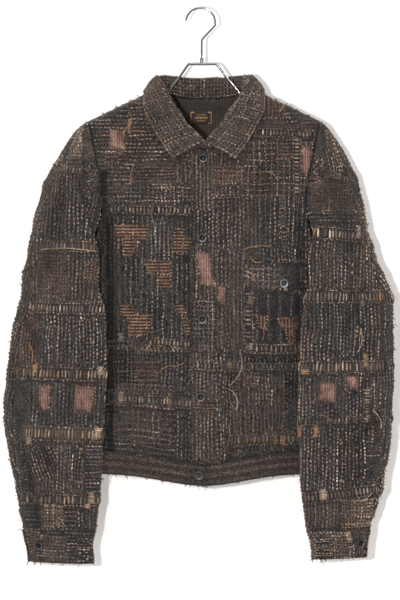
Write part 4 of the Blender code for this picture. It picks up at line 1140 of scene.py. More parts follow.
# %% Fields of sewing
# x of the left and right side, z of the top and bottom, ground, sewing, distance between rows, thread
FIELDS = read_table("""
front_right
-481 479 -125 -757 char down 6.4 dull
-215 -1 -125 -319 brown across 6.5 tan
-81 -39 -149 -168 black across 7 dull
-142 -116 -156 -184 char across 7 dull
-113 -68 -170 -183 black across 6.5 tan
-154 -129 -232 -252 brown across 6.5 rust
-110 -26 -250 -284 brown across 5.4 rust
-39 -1 -245 -287 brown down 6.5 dull
-148 -14 -287 -317 black grid 7 tan
-154 -14 -332 -408 black down 8 tan
-81 -46 -344 -408 char down 7 cream
-154 -14 -408 -533 char down 8 dull
-97 -52 -453 -533 black down 9 cream
-132 -97 -397 -477 black down 9 dull
-154 -7 -544 -615 black grid 7 dull
-103 -68 -565 -600 brown across 7 rust
-65 -7 -549 -615 char down 6.5 dull
-154 -7 -636 -717 black across 7.6 dull
-129 -65 -645 -693 char grid 9 dull
-39 22 -636 -728 char down 6.4 dull
-17 22 -469 -541 char grid 7 dull
-14 22 -541 -636 brown across 6.5 tan
front_left
-481 479 -125 -757 char down 6.4 dull
71 207 -130 -194 brown across 6.5 rust
89 146 -146 -178 brown down 6 rust
134 159 -156 -191 char across 6 dull
63 207 -213 -303 brown grid 9.5 tan
121 150 -210 -245 brown across 6 rust
18 63 -229 -304 brown down 6.5 dull
18 70 -253 -285 brown grid 7.5 rust
18 207 -304 -384 black down 7.6 tan
47 98 -304 -384 brown down 6.5 dull
70 98 -384 -407 brown across 4.5 rust
98 207 -384 -407 black down 6 dull
18 68 -389 -549 brown down 6.5 dull
18 50 -447 -479 brown down 6 rust
-1 68 -549 -629 char down 6.2 dull
68 207 -557 -680 black down 6.4 dull
68 89 -584 -607 brown grid 5 rust
89 127 -575 -629 char down 6 dull
-1 57 -629 -725 char down 6 tan
57 207 -629 -728 char down 6.4 dull
86 114 -605 -637 char down 5.5 dull
114 207 -703 -741 black down 5.5 tan
sleeve_right_front
-481 479 -149 -949 char down 6.6 dull
-225 -135 -149 -255 brown across 7 dull
-209 -174 -194 -239 tan grid 6 tan
-257 -135 -255 -373 char down 6.8 tan
-250 -215 -271 -317 brown down 6.5 rust
-273 -135 -392 -472 brown down 6.4 dull
-260 -212 -392 -469 brown grid 5.2 rust
-186 -158 -402 -444 brown grid 5 rust
-289 -135 -490 -575 black down 6.6 tan
-260 -231 -514 -568 char down 6 cream
-199 -154 -498 -568 char down 5.6 cream
-298 -257 -498 -575 brown down 5.6 orange
-311 -135 -597 -668 char down 6.4 dull
-263 -236 -604 -645 brown down 5.5 rust
-202 -164 -597 -648 brown down 5.5 rust
-321 -279 -597 -789 smoke plain 0 dark
-289 -135 -693 -776 brown down 6.2 dull
-273 -231 -703 -757 black slant 6 tan
-215 -186 -693 -760 char down 5 tan
-186 -154 -693 -776 grey across 6 dull
-321 -135 -797 -847 char across 7 dull
-250 -218 -792 -834 brown grid 5 tan
-196 -154 -797 -847 char down 6 tan
-311 -289 -626 -712 grey plain 0 dull
-302 -278 -712 -797 grey plain 0 dull
sleeve_left_front
-481 479 -133 -949 char down 6.4 dull
159 255 -141 -197 smoke across 7 dull
159 255 -197 -274 brown slant 6.5 tan
178 265 -271 -328 brown grid 5.2 rust
156 319 -328 -348 char across 6 dull
153 319 -370 -453 char down 6.4 tan
153 223 -373 -450 brown down 5.6 dull
242 319 -360 -453 brown down 6 tan
153 319 -472 -567 black down 6.6 tan
210 249 -476 -562 black down 6 cream
287 319 -453 -629 smoke plain 0 dark
153 319 -586 -661 char down 6 tan
180 220 -594 -632 brown down 5.5 rust
228 255 -584 -613 brown down 5.5 rust
278 319 -636 -712 hem plain 0 dark
153 319 -668 -773 char down 6 tan
223 274 -668 -757 black down 6.4 tan
265 319 -693 -789 smoke across 7 dull
153 319 -789 -847 brown down 6 dull
223 278 -786 -837 brown grid 5.4 tan
278 306 -639 -712 tan plain 0 dull
270 306 -719 -767 smoke plain 0 dull
cuff_right
-481 479 -829 -909 char across 5.6 dull
-271 -262 -837 -895 rust across 4.5 rust
-254 -215 -847 -895 brown grid 5 dull
-194 -177 -847 -895 black across 4.6 cream
cuff_left
-481 479 -829 -909 brown down 5.6 dull
226 242 -837 -861 tan across 4.5 tan
242 287 -837 -885 char grid 5 tan
183 209 -848 -882 black across 4.6 cream
chest_pocket
57 207 -397 -573 black down 19 dull
57 86 -456 -543 char across 7 cream
57 207 -538 -573 char across 7 dull
pocket_flap
57 207 -389 -469 smoke grid 9 tan
129 164 -389 -469 black plain 0 dark
164 207 -389 -469 black down 9 dull
button_placket
-481 479 -197 -757 brown down 6.2 dull
-33 47 -325 -383 char down 6 tan
-33 47 -469 -549 char grid 7 dull
-33 47 -629 -648 brown across 5 gold
back
-400 400 -120 -720 char down 6.4 dull
-215 220 -120 -262 brown across 7.6 tan
-60 30 -150 -200 char across 6.5 dull
80 170 -190 -258 smoke grid 9 tan
-180 -70 -275 -400 black down 7.4 tan
-70 20 -275 -360 brown grid 8 dull
20 110 -275 -415 char down 6.6 tan
110 220 -275 -415 brown down 6.2 rust
-215 -110 -415 -540 smoke across 7.6 dull
-110 -20 -380 -520 black down 8 cream
-20 60 -430 -560 grey grid 7.4 dull
60 220 -430 -540 brown down 6.8 tan
-215 -60 -556 -690 brown down 6.6 dull
-60 40 -575 -690 brown across 7.2 rust
40 130 -556 -690 black grid 8 tan
130 220 -556 -720 char down 6.2 dull
sleeve_right_back
-400 400 -150 -860 char down 6.6 dull
-330 -130 -150 -260 brown across 7 dull
-330 -220 -300 -380 black down 7 tan
-330 -130 -400 -476 brown grid 6.6 rust
-260 -130 -500 -580 brown down 6.2 tan
-330 -240 -600 -700 smoke across 7 dark
-240 -130 -610 -680 black down 6.4 tan
-330 -130 -760 -860 brown across 6.6 dull
sleeve_left_back
-400 400 -150 -860 char down 6.4 dull
130 330 -150 -250 char across 7 dull
200 330 -290 -360 black down 7 tan
130 330 -380 -460 char grid 7 dull
130 230 -480 -570 brown down 6.2 rust
250 330 -500 -640 smoke across 7 dark
130 240 -590 -680 black down 6.4 tan
130 330 -780 -860 char across 6.6 tan
waistband
-400 400 -700 -780 hem across 13 dark
collar
-400 400 -80 -280 brown grid 5.6 dull
60 110 -118 -240 brown grid 5.2 dull
-98 -50 -125 -238 black across 5.2 rust
""")
print("blocks", sum(map(len, FIELDS.values())))

# %% Bands
# x and z of the start, x and z of the end, width, distance between rungs, thread, ground
BANDS = read_table("""
front_right
-145 -324 -15 -327 13 6 tan char
-81 -535 -14 -540 13 6 cream brown
-134 -626 -14 -634 16 6 tan grey
-151 -616 -17 -616 5 7 dull char
-154 -544 -17 -549 5 7 tan char
-138 -236 -116 -239 6 5 rust brown
front_left
73 -200 207 -204 14 6 tan char
154 -210 154 -303 13 6 cream brown
47 -693 207 -695 18 6.5 tan brown
-1 -572 68 -575 16 6.5 cream char
68 -575 207 -575 10 6 dull char
111 -407 194 -407 5 9 cream black
130 -304 134 -384 10 5.5 tan grey
22 -304 73 -304 5 7 dull char
sleeve_right_front
-263 -383 -135 -383 18 6 tan brown
-273 -480 -135 -484 18 5.5 tan char
-295 -584 -135 -588 22 6 tan brown
-289 -680 -135 -684 24 5.5 tan tan
-279 -786 -135 -789 19 6.5 tan brown
-222 -258 -135 -264 10 6 dull char
sleeve_left_front
153 -359 303 -360 21 6 tan char
153 -463 303 -464 21 6 tan char
153 -576 303 -575 21 6 tan brown
159 -663 303 -656 10 6 dull char
162 -786 294 -770 18 6 tan char
265 -610 265 -648 13 5 cream brown
153 -264 265 -271 8 6 dull char
chest_pocket
70 -544 175 -544 14 8 cream char
76 -456 76 -541 14 7 cream char
button_placket
-33 -573 47 -575 13 6.5 cream char
back
-200 -266 212 -268 15 6 tan char
-215 -424 215 -420 14 6 tan brown
-215 -548 215 -552 15 6.5 tan char
-64 -280 -66 -420 10 6 cream brown
62 -430 64 -548 10 6 tan char
-60 -700 140 -696 12 6 dull brown
sleeve_right_back
-330 -384 -130 -384 17 6 tan brown
-330 -480 -130 -482 17 5.5 tan char
-330 -584 -130 -586 20 6 tan brown
-330 -680 -130 -682 20 6 tan tan
-330 -788 -130 -790 18 6.5 dull brown
sleeve_left_back
130 -360 330 -360 20 6 tan char
130 -464 330 -464 20 6 tan char
130 -576 330 -576 20 6 tan brown
130 -664 330 -660 12 6 dull char
130 -786 330 -776 18 6 tan char
""")
print("bands", sum(map(len, BANDS.values())))

# %% Knots
# x and z of the middle, width, height, thread
KNOTS = read_table("""
front_right
-127 -528 13 13 cream
-127 -623 13 13 cream
-15 -349 5 11 cream
-15 -448 5 10 cream
-50 -632 6 14 orange
-114 -191 6 22 gold
sleeve_right_front
-186 -216 14 13 cream
-196 -228 10 10 tan
-263 -578 14 13 gold
-159 -581 13 14 cream
-164 -679 16 16 tan
-174 -783 16 19 cream
-273 -693 13 10 cream
-180 -797 13 8 tan
sleeve_left_front
252 -360 10 19 cream
258 -474 10 10 gold
262 -564 11 19 gold
183 -677 11 19 orange
159 -677 8 16 orange
196 -778 14 16 cream
166 -583 22 8 gold
164 -469 8 14 cream
265 -658 8 11 cream
front_left
156 -469 6 16 cream
119 -693 10 14 gold
162 -581 13 10 gold
47 -575 10 13 gold
132 -693 8 16 orange
cuff_left
236 -845 13 14 tan
pocket_flap
135 -453 10 6 cream
chest_pocket
79 -543 11 10 cream
79 -469 8 13 rust
back
-205 -266 16 14 cream
66 -266 12 14 cream
-20 -424 12 12 gold
150 -422 12 14 cream
-150 -550 14 14 cream
92 -552 10 14 orange
sleeve_right_back
-200 -384 12 14 cream
-250 -584 14 14 gold
-190 -682 14 14 cream
sleeve_left_back
210 -360 12 16 cream
270 -464 10 14 gold
200 -576 12 16 cream
""")
print("knots", sum(map(len, KNOTS.values())))

# %% Loose threads
# x and z of the start, x and z of the end, how far it bows to its side, thread
STROKES = read_table("""
front_right
-116 -168 -111 -188 3.2 gold
-111 -188 -122 -210 -4.8 gold
-110 -199 -87 -200 0.8 orange
-122 -253 -106 -253 0.8 cream
-106 -253 -111 -284 -3.2 gold
-34 -253 -28 -284 -6.4 gold
-49 -293 -55 -280 3.2 cream
-126 -540 -116 -552 3.2 cream
-65 -584 -39 -575 4.8 gold
-36 -572 -23 -562 -3.2 gold
-81 -328 -74 -367 3.2 dull
front_left
63 -552 49 -604 9.6 dull
49 -604 58 -645 -8.0 tan
58 -645 41 -610 -9.6 tan
68 -389 111 -384 3.2 gold
79 -399 98 -408 -4.8 gold
108 -668 118 -703 3.2 gold
98 -264 124 -277 4.8 orange
153 -674 162 -693 4.8 gold
44 -668 41 -703 3.2 orange
127 -168 146 -149 4.8 cream
194 -229 207 -216 -3.2 cream
sleeve_right_front
-273 -540 -268 -568 3.2 gold
-257 -514 -215 -517 4.8 dull
-254 -389 -154 -392 3.2 dull
-250 -293 -238 -309 3.2 tan
-167 -229 -154 -248 3.2 orange
sleeve_left_front
217 -258 233 -255 3.2 cream
255 -517 249 -552 4.8 tan
274 -645 287 -674 6.4 tan
188 -652 207 -661 3.2 gold
242 -789 274 -776 -4.8 tan
chest_pocket
98 -511 98 -533 3.2 rust
pocket_flap
76 -424 86 -440 3.2 tan
159 -418 159 -440 1.6 rust
""")
print("loose threads", sum(map(len, STROKES.values())))

# %% Scraps of other cloth
# x and z of four corners, clockwise from the top left, then the cloth
SCRAPS = read_table("""
front_right
-137 -348 -82 -349 -86 -373 -135 -368 stripe_across
-125 -365 -95 -376 -111 -399 -123 -399 stripe_across
-42 -354 -26 -354 -26 -396 -42 -394 stripe_across
-29 -370 -13 -370 -20 -392 -29 -396 stripe_across
-95 -402 -46 -408 -46 -432 -81 -428 stripe_across
-70 -424 -46 -429 -46 -450 -68 -450 stripe_across
-130 -477 -103 -479 -100 -500 -126 -500 stripe_across
-118 -493 -78 -492 -82 -524 -113 -530 stripe_across
-46 -476 -26 -477 -22 -495 -39 -488 stripe_across
-31 -493 -12 -503 -14 -527 -23 -525 stripe_across
-145 -196 -122 -199 -122 -231 -148 -229 pink_cloth
-105 -540 -65 -540 -65 -552 -105 -552 boro_patch
-138 -604 -47 -604 -47 -700 -138 -700 boro_patch
-154 -232 -129 -232 -129 -252 -154 -252 rust_cloth
-102 -567 -68 -567 -68 -599 -102 -599 rust_cloth
front_left
162 -221 191 -226 188 -271 164 -268 pink_cloth
26 -444 41 -448 38 -476 28 -472 pink_cloth
57 -591 135 -591 135 -687 57 -687 boro_patch
90 -146 121 -146 145 -178 98 -178 rust_cloth
122 -212 148 -212 148 -245 122 -245 rust_cloth
20 -255 68 -255 68 -284 20 -284 rust_cloth
68 -584 89 -584 89 -607 68 -607 rust_cloth
chest_pocket
89 -493 108 -493 106 -517 92 -514 stripe_down
121 -498 155 -494 154 -517 129 -512 stripe_down
132 -509 154 -511 150 -540 138 -538 stripe_down
sleeve_right_front
-306 -658 -290 -655 -286 -693 -302 -700 dark_cloth
-302 -704 -284 -698 -278 -741 -295 -748 dark_cloth
-294 -754 -278 -748 -274 -792 -286 -796 dark_cloth
-186 -404 -158 -404 -158 -442 -186 -442 rust_cloth
-249 -796 -220 -796 -220 -831 -249 -831 rust_cloth
-257 -605 -238 -607 -241 -645 -258 -640 pink_cloth
-199 -604 -167 -607 -174 -647 -201 -642 pink_cloth
sleeve_left_front
276 -652 295 -642 298 -687 286 -712 dark_cloth
271 -735 297 -717 295 -748 274 -767 dark_cloth
225 -788 276 -788 276 -836 225 -836 rust_cloth
188 -599 218 -602 214 -632 186 -626 pink_cloth
231 -588 252 -589 249 -612 233 -608 pink_cloth
263 -453 281 -455 279 -471 265 -469 stripe_across
button_placket
-7 -389 15 -396 26 -448 -2 -444 pink_cloth
back
-85 -368 53 -368 53 -443 -85 -443 dark_cloth
24 -500 152 -500 152 -619 24 -619 boro_patch
-195 -470 -126 -470 -126 -550 -195 -550 stripe_across
-92 -395 -22 -395 -22 -430 -92 -430 stripe_across
-70 -425 -30 -425 -30 -470 -70 -470 stripe_across
90 -300 150 -300 150 -340 90 -340 pink_cloth
-176 -574 -124 -574 -124 -626 -176 -626 stripe_down
20 -610 70 -610 70 -650 20 -650 stripe_across
66 -455 110 -455 110 -500 66 -500 stripe_across
sleeve_right_back
-298 -523 -198 -523 -198 -636 -298 -636 boro_patch
-270 -420 -236 -420 -236 -462 -270 -462 pink_cloth
-186 -640 -160 -640 -160 -676 -186 -676 stripe_across
sleeve_left_back
212 -479 299 -479 299 -595 212 -595 boro_patch
240 -400 276 -400 276 -440 240 -440 stripe_down
190 -610 226 -610 226 -660 190 -660 pink_cloth
""")
print("scraps", sum(map(len, SCRAPS.values())))

# %% What each panel is made of
PLAIN_PANELS = (
    "front_right_yoke", "front_right", "front_left", "back_yoke", "back_body", "sleeve_right_front",
    "sleeve_right_back", "sleeve_left_front", "sleeve_left_back", "cuff_right", "cuff_left",
)
PIECES = {  # piece: finish and thickness
    **{name: ("boro_cloth", 0.0019) for name in PLAIN_PANELS}, "collar": ("boro_cloth", 0.0020),
    "waistband": ("dark_cloth", 0.0019), "chest_pocket": ("dark_cloth", 0.0016),
    "pocket_flap": ("boro_patch", 0.0016), "button_placket": ("boro_patch", 0.0012),
    "neck_lining": ("lining", 0.0010),
}
PLAN_OF = {"front_right_yoke": "front_right", "back_yoke": "back", "back_body": "back", "neck_lining": None}
TORSO_PANELS = ("front_right_yoke", "front_right", "front_left", "back_yoke", "back_body")
SLANT = 0.45  # how far slanted sewing leans, across for each step down
print("plain panels", len(PLAIN_PANELS), "of", len(PIECES))


# %% Painting the ground
def corners_in(cloth, x_left, x_right, z_top, z_bottom):
    """A block's sides in the cloth's own metres; a block wider than the jacket is the whole cloth."""
    if x_right - x_left > 700:
        return cloth.u.min(), cloth.u.max(), cloth.v[0], cloth.v[-1]
    x, z = (x_left + x_right) / 2 * MM, (z_top + z_bottom) / 2 * MM
    (u0, u1), _ = cloth.find(np.array([x_left, x_right]) * MM, np.array([z, z]))
    _, (v0, v1) = cloth.find(np.array([x, x]), np.array([z_top, z_bottom]) * MM)
    return min(u0, u1), max(u0, u1), min(v0, v1), max(v0, v1)


def start_of(low, pitch, slant_reach=0.0):
    """Where the first row of a block lies."""
    return low - slant_reach + 0.4 * pitch


def painted(plan, points, u, v, cloth):
    """Each point's shade, from the last block that holds it; how many rows in; how strongly rows show."""
    shade, rows = np.tile(GROUND["char"], (len(points), 1)), np.zeros((len(points), 4))
    wander = np.stack([ripple(points, 0.018), ripple(points[:, ::-1] + 0.3, 0.018)]) * 0.0035
    for x0, x1, z0, z1, ground, sewing, pitch, _ in FIELDS.get(plan, ()):
        u0, u1, v0, v1 = corners_in(cloth, x0, x1, z0, z1)
        sides = (u + wander[0] - u0, u1 - u - wander[0], v + wander[1] - v0, v1 - v - wander[1])
        share = smooth(np.minimum.reduce(sides) / 0.003 + 0.5)[:, None]
        shade = shade * (1 - share) + GROUND[ground] * chance.uniform(0.82, 1.18) * share
        here, pitch = share[:, 0] > 0.5, max(pitch, 1) * MM
        slant = SLANT if sewing == "slant" else 0.0
        aside = u - slant * (v - (v0 + v1) / 2)
        rows[here, 0] = ((aside - start_of(u0, pitch, abs(slant) * (v1 - v0) / 2)) / pitch)[here]
        rows[here, 1] = ((v - start_of(v0, pitch)) / pitch)[here]
        shows = np.array([sewing in ("down", "slant", "grid"), sewing in ("across", "grid")]) * 1.0
        rows[:, 2:] = rows[:, 2:] * (1 - share) + shows * share
    tint = 1 + 0.22 * ripple(points + 0.7, 0.11)[:, None] * (1.0, 0.9, 0.8)
    return np.clip(shade * tint, 0.004, 1), rows


print("rows 6.4 mm apart start", round(start_of(0, 6.4), 2), "mm inside their block")

# %% The panels, dressed
surfaces, objects = {}, {}
for name, (finish, thickness) in PIECES.items():
    points, normals = settled(name, grids[name])
    if name == "collar":
        points = points + normals * thickness / 2
    surfaces[name] = points, normals
    flat_points, plan = points.reshape(-1, 3), PLAN_OF.get(name, name)
    if name in TORSO_PANELS:
        cloth, sense = cloths[plan], -1 if plan == "back" else 1
        row = cloth.u.shape[0] // 2
        plan_u = np.interp(sense * flat_points[:, 0], sense * cloth.points[row, :, 0], cloth.u[row])
        plan_v = -flat_points[:, 2]
    elif name.startswith("sleeve"):
        cloth, plan_u, plan_v = level_cloth(points, normals, 1 if name.endswith("back") else -1)
    else:
        cloth = Cloth(points, normals)
        plan_u, plan_v = cloth.u.ravel(), np.broadcast_to(cloth.v[:, None], cloth.u.shape).ravel()
    cloths.setdefault(name, cloth)
    shade, rows = painted(plan, flat_points, plan_u, plan_v, cloth)
    shade = shade * (0.45 + 0.55 * smooth(from_border(points).ravel() / 0.007))[:, None]
    # painted shadow in folds and under the collar, and painted shade and highlight of creases
    shade = shade * (painted_shadows(name, flat_points) * painted_crease_shade(name, flat_points))[:, None]
    shell_points, faces = shell_arrays(points, normals, thickness)
    uv, shade, rows = (np.tile(a, (2, 1)) for a in (np.stack([plan_u, -plan_v], axis=1), shade, rows))
    objects[name] = mesh_object(f"worn_{name}", shell_points, faces, finish, uv, shade, rows)
    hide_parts(name)
print("cloth triangles", sum(len(o.data.polygons) * 2 for o in objects.values()))

# %% [markdown]
# ## Scraps, bands and their ragged edges
# A scrap is one more layer, basted on. It could be cut with a Boolean, but a small
# grid laid on the cloth's own metres, with each side wandering by a millimetre or
# two, has a torn edge and follows every crease below it.

# %% One scrap
SCRAP_LIFT, BAND_LIFT = 0.0010, 0.0016
SCRAP_SHADE = {"boro_patch": "brown", "dark_cloth": "black", "rust_cloth": "rust"}


def wavering(count, amount):
    """An uneven line: random steps, smoothed, from -amount to amount."""
    raw = chance.normal(size=count + 8)
    soft = np.convolve(raw, [0.25, 0.5, 0.75, 0.5, 0.25], "same")[4:-4]
    return amount * np.clip(soft, -1.6, 1.6) / 1.6


def layer_height(points, lift):
    """Height of a laid-on layer: its lift and a little waviness of its own; none where the lift is none."""
    return lift + 0.0003 * ripple(points, 0.012) * (np.asarray(lift) > 0)


def scrap_arrays(cloth, corners, lift, ragged, thickness, plan, step=0.0035):
    """A patch on a cloth: its corners' u and v, mixed over a grid whose four sides waver."""
    a, b, c, d = np.array(corners)
    columns = max(3, round(max(np.linalg.norm(b - a), np.linalg.norm(c - d)) / step) + 1)
    rows = max(3, round(max(np.linalg.norm(d - a), np.linalg.norm(c - b)) / step) + 1)
    across, down = np.linspace(0, 1, columns)[None, :, None], np.linspace(0, 1, rows)[:, None, None]
    place = (a * (1 - across) + b * across) * (1 - down) + (d * (1 - across) + c * across) * down
    across, down = across[..., 0], down[..., 0]
    left, right = (wavering(rows, ragged)[:, None] for _ in range(2))
    top, bottom = (wavering(columns, ragged)[None, :] for _ in range(2))
    place[..., 0] += left * (1 - across) + right * across
    place[..., 1] += top * (1 - down) + bottom * down
    u, v = place[..., 0], place[..., 1]
    rim = np.minimum(np.minimum(down, 1 - down) * (rows - 1), np.minimum(across, 1 - across) * (columns - 1))
    points, normals, _ = cloth.read(u, v)
    height = layer_height(points, lift) - (0.55 * lift) * (rim < 0.5)
    points = points + normals * height[..., None]
    shell_points, faces = shell_arrays(points, normals, thickness)
    # darker towards the scrap's edge, with a random tone
    wear_and_painted_light = np.clip(0.55 + 0.45 * smooth(rim / 2.2) + 0.22 * ripple(points, 0.014), 0.3, 1.2)
    _, rows = painted(plan, points.reshape(-1, 3), u.ravel(), v.ravel(), cloth)
    uv = np.stack([u.ravel(), -v.ravel()], axis=1)
    return shell_points, faces, np.tile(uv, (2, 1)), np.tile(wear_and_painted_light.ravel(), 2), np.tile(rows, (2, 1))


def joined(name, parts, material, shades):
    """One object from many small shells."""
    starts = np.cumsum([0] + [len(p[0]) for p in parts])
    faces = np.concatenate([p[1] + start for p, start in zip(parts, starts)])
    shade = np.concatenate([p[3][:, None] * s for p, s in zip(parts, shades)])
    points, uv, rows = (np.concatenate([p[k] for p in parts]) for k in (0, 2, 4))
    return mesh_object(name, points, faces, material, uv, shade, rows)


def kept_on(cloth, u, v, margin=0.002):
    """u and v drawn in so that they stay on the cloth."""
    low, high = np.interp(v, cloth.v, cloth.low) + margin, np.interp(v, cloth.v, cloth.high) - margin
    return np.clip(u, low, high), np.clip(v, cloth.v[0] + margin, cloth.v[-1] - margin)


print("a scrap stands", SCRAP_LIFT * 1000, "mm off the cloth, and a band", BAND_LIFT * 1000)

# %% All scraps and bands
sewn_on, scrap_corners, band_lines = {}, [], []
for plan, rows in SCRAPS.items():
    for *places, finish in rows:
        cloth = cloths[plan]
        u, v = kept_on(cloth, *cloth.find(np.array(places[0::2]) * MM, np.array(places[1::2]) * MM))
        corners = np.stack([u, v], axis=1)
        if np.ptp(u) < 0.005 or np.ptp(v) < 0.004:
            continue
        shade = GROUND[SCRAP_SHADE[finish]] if finish in SCRAP_SHADE else np.ones(3)
        made = scrap_arrays(cloth, corners, SCRAP_LIFT, 0.0016, 0.0006, plan)
        sewn_on.setdefault((plan, finish), []).append((made, shade * chance.uniform(0.85, 1.15)))
        scrap_corners.append((plan, finish, corners))
for plan, rows in BANDS.items():
    cloth = cloths[plan]
    for x0, z0, x1, z1, width, pitch, thread, ground in rows:
        two_ends = cloth.find(np.array([x0, x1]) * MM, np.array([z0, z1]) * MM)
        (u0, u1), (v0, v1) = kept_on(cloth, *two_ends, 0.0)
        length, turn = math.hypot(u1 - u0, v1 - v0), math.atan2(v1 - v0, u1 - u0)
        along = np.array([math.cos(turn), math.sin(turn)]) * length / 2
        square = np.array([-math.sin(turn), math.cos(turn)]) * width * MM / 2
        middle = np.array([u0 + u1, v0 + v1]) / 2
        corners = [
            middle - along - square, middle + along - square,
            middle + along + square, middle - along + square,
        ]
        made = scrap_arrays(cloth, corners, BAND_LIFT, 0.0007, 0.0012, plan)
        made[4][:] = 0  # no rows of sewing show on a band
        # the band's ground colour with a random tone
        wear_and_painted_light = GROUND[ground] * chance.uniform(0.85, 1.15)
        sewn_on.setdefault((plan, "boro_cloth"), []).append((made, wear_and_painted_light))
        band_lines.append((plan, middle, turn, length, width * MM, pitch * MM, thread))
scrap_objects = {}
for (plan, finish), parts in sewn_on.items():
    name = f"scraps_{plan}_{finish}"
    whole = joined(name, [p for p, _ in parts], finish, [s for _, s in parts])
    scrap_objects.setdefault(plan, []).append(whole)
print("scraps and bands", sum(len(parts) for parts in sewn_on.values()))

# %% [markdown]
# ## The sewing
# Sashiko is a running stitch in thick cotton, row after row. Hair or curves could
# draw it. Here all stitches of a panel are one mesh made at once: each is a short
# thread with three sides, pinned into the cloth at both ends, so light catches its
# top and a small shadow lies beside it.

# %% Rows of stitches
STITCH_FACES = np.array([
    (2, 1, 0), (3, 2, 0), (1, 3, 0), (4, 5, 7), (5, 6, 7), (6, 4, 7),
    (1, 2, 5), (1, 5, 4), (2, 3, 6), (2, 6, 5), (3, 1, 4), (3, 4, 6),
])
DIM_FACES = np.array([(2, 1, 0), (3, 2, 0), (1, 3, 0), (1, 2, 4), (2, 3, 4), (3, 1, 4)])
NO_STITCHES = np.zeros((0, 9))
TURN = 6.3  # a little more than a full turn, for a wave's random start


def sewn(u, v, turn, length, width, lift, colour):
    """Stitches as rows of nine numbers: u, v, turn, length, width, lift, red, green and blue."""
    u = np.atleast_1d(u)
    plain = [np.broadcast_to(x, u.shape) for x in (u, v, turn, length, width, lift)]
    return np.column_stack([*plain, np.broadcast_to(colour, (len(u), 3))])


def threads_of(mixture, count):
    """Colours drawn from a thread mixture."""
    shares, colours = zip(*THREAD[mixture])
    picked = chance.choice(len(shares), count, p=np.array(shares) / sum(shares))
    return np.array(colours)[picked]


def row_stitches(block, direction, pitch, thread, ground, length=0.0050, gap=0.0012):
    """Rows of running stitches in a block, and the thin dim ones that lie between those rows."""
    u0, u1, v0, v1 = block
    if direction == "grid":
        ways = [
            row_stitches(block, way, pitch, thread, ground, length * 0.8, gap) for way in ("down", "across")
        ]
        return tuple(np.concatenate(pair) for pair in zip(*ways))
    slant = SLANT if direction == "slant" else 0.0
    (a0, a1), (b0, b1) = ((v0, v1), (u0, u1)) if direction == "across" else ((u0, u1), (v0, v1))
    reach_out = abs(slant) * (b1 - b0) / 2
    made = []
    for between, (size_of, gap_of) in enumerate(((length, gap), (0.0042, 0.0034))):
        lines = np.arange(start_of(a0, pitch, reach_out) + between * pitch / 2, a1 + reach_out, pitch)
        if not len(lines) or b1 - b0 < 0.004:
            made.append(NO_STITCHES)
            continue
        each = (len(lines), 1)
        count = int((b1 - b0) / (size_of + gap_of) / 0.85) + 2
        step = (size_of + gap_of) * chance.uniform(0.88, 1.14, each)
        along = b0 - chance.uniform(0, 1, each) * step + step * np.arange(count)
        along = along + chance.normal(0, 0.0004, along.shape)
        waver = 0.0008 * np.sin(along * chance.uniform(50, 130, each) + chance.uniform(0, TURN, each))
        aside = lines[:, None] + waver + chance.normal(0, 0.0002 + 0.0004 * between, along.shape)
        aside = aside + slant * (along - (b0 + b1) / 2)
        row_colour = threads_of(thread, len(lines))[:, None, :] * chance.uniform(0.45, 1.3, (*each, 1))
        own_colour = threads_of(thread, along.size).reshape(*along.shape, 3)
        fading = 0.72 + 0.38 * np.sin(along * chance.uniform(20, 70, each) + chance.uniform(0, TURN, each))
        colour = (0.6 * row_colour + 0.4 * own_colour) * chance.uniform(0.6, 1.5, (*along.shape, 1))
        colour = colour * fading[..., None]
        if between:
            colour = 0.28 * colour + 1.1 * ground
        turn = 0.0 if direction == "across" else math.pi / 2
        turn = turn + chance.normal(0, 0.07 + 0.2 * between, along.shape) - math.atan(slant)
        u, v = (along, aside) if direction == "across" else (aside, along)
        inside = (along > b0) & (along < b1) & (aside > a0) & (aside < a1)
        inside &= chance.random(along.shape) < (0.94, 0.8)[between]
        size = size_of * chance.uniform(0.7, 1.2, inside.sum())
        width = chance.uniform(*((0.0015, 0.0026), (0.0009, 0.0015))[between], inside.sum())
        made.append(sewn(u[inside], v[inside], turn[inside], size, width, 0.0, colour[inside]))
    return tuple(made)


print("faces of a stitch", len(STITCH_FACES), "and of a dim one", len(DIM_FACES))


# %% Stitches that hold scraps, bands and knots
def in_quad(u, v, corners):
    """Points on the inner side of all four sides; the corners run clockwise as seen."""
    inside = np.ones(len(u), bool)
    for (au, av), (bu, bv) in zip(corners, np.roll(corners, -1, axis=0)):
        inside &= (bu - au) * (v - av) - (bv - av) * (u - au) > 0
    return inside


def basting(corners, thread, pitch=0.0050, inset=0.0012):
    """Short stitches over the four sides of a scrap, square to each side."""
    rows = []
    for start, end in zip(corners, np.roll(corners, -1, axis=0)):
        side = end - start
        length = float(np.linalg.norm(side))
        along = np.arange(pitch / 2, length, pitch)
        along = along[chance.random(len(along)) < 0.85]
        inward, count = np.array([-side[1], side[0]]) / max(length, 1e-6), len(along)
        inside_by = inset + chance.normal(0, 0.0005, (count, 1))
        place = start + side * (along / length)[:, None] + inward * inside_by
        turn = math.atan2(inward[1], inward[0]) + chance.normal(0, 0.3, count)
        colour = threads_of(thread, count) * chance.uniform(0.6, 1.05, (count, 1))
        size, wide = chance.uniform(0.003, 0.005, count), chance.uniform(0.0011, 0.0017, count)
        rows.append(sewn(place[:, 0], place[:, 1], turn, size, wide, SCRAP_LIFT, colour))
    return np.concatenate(rows)


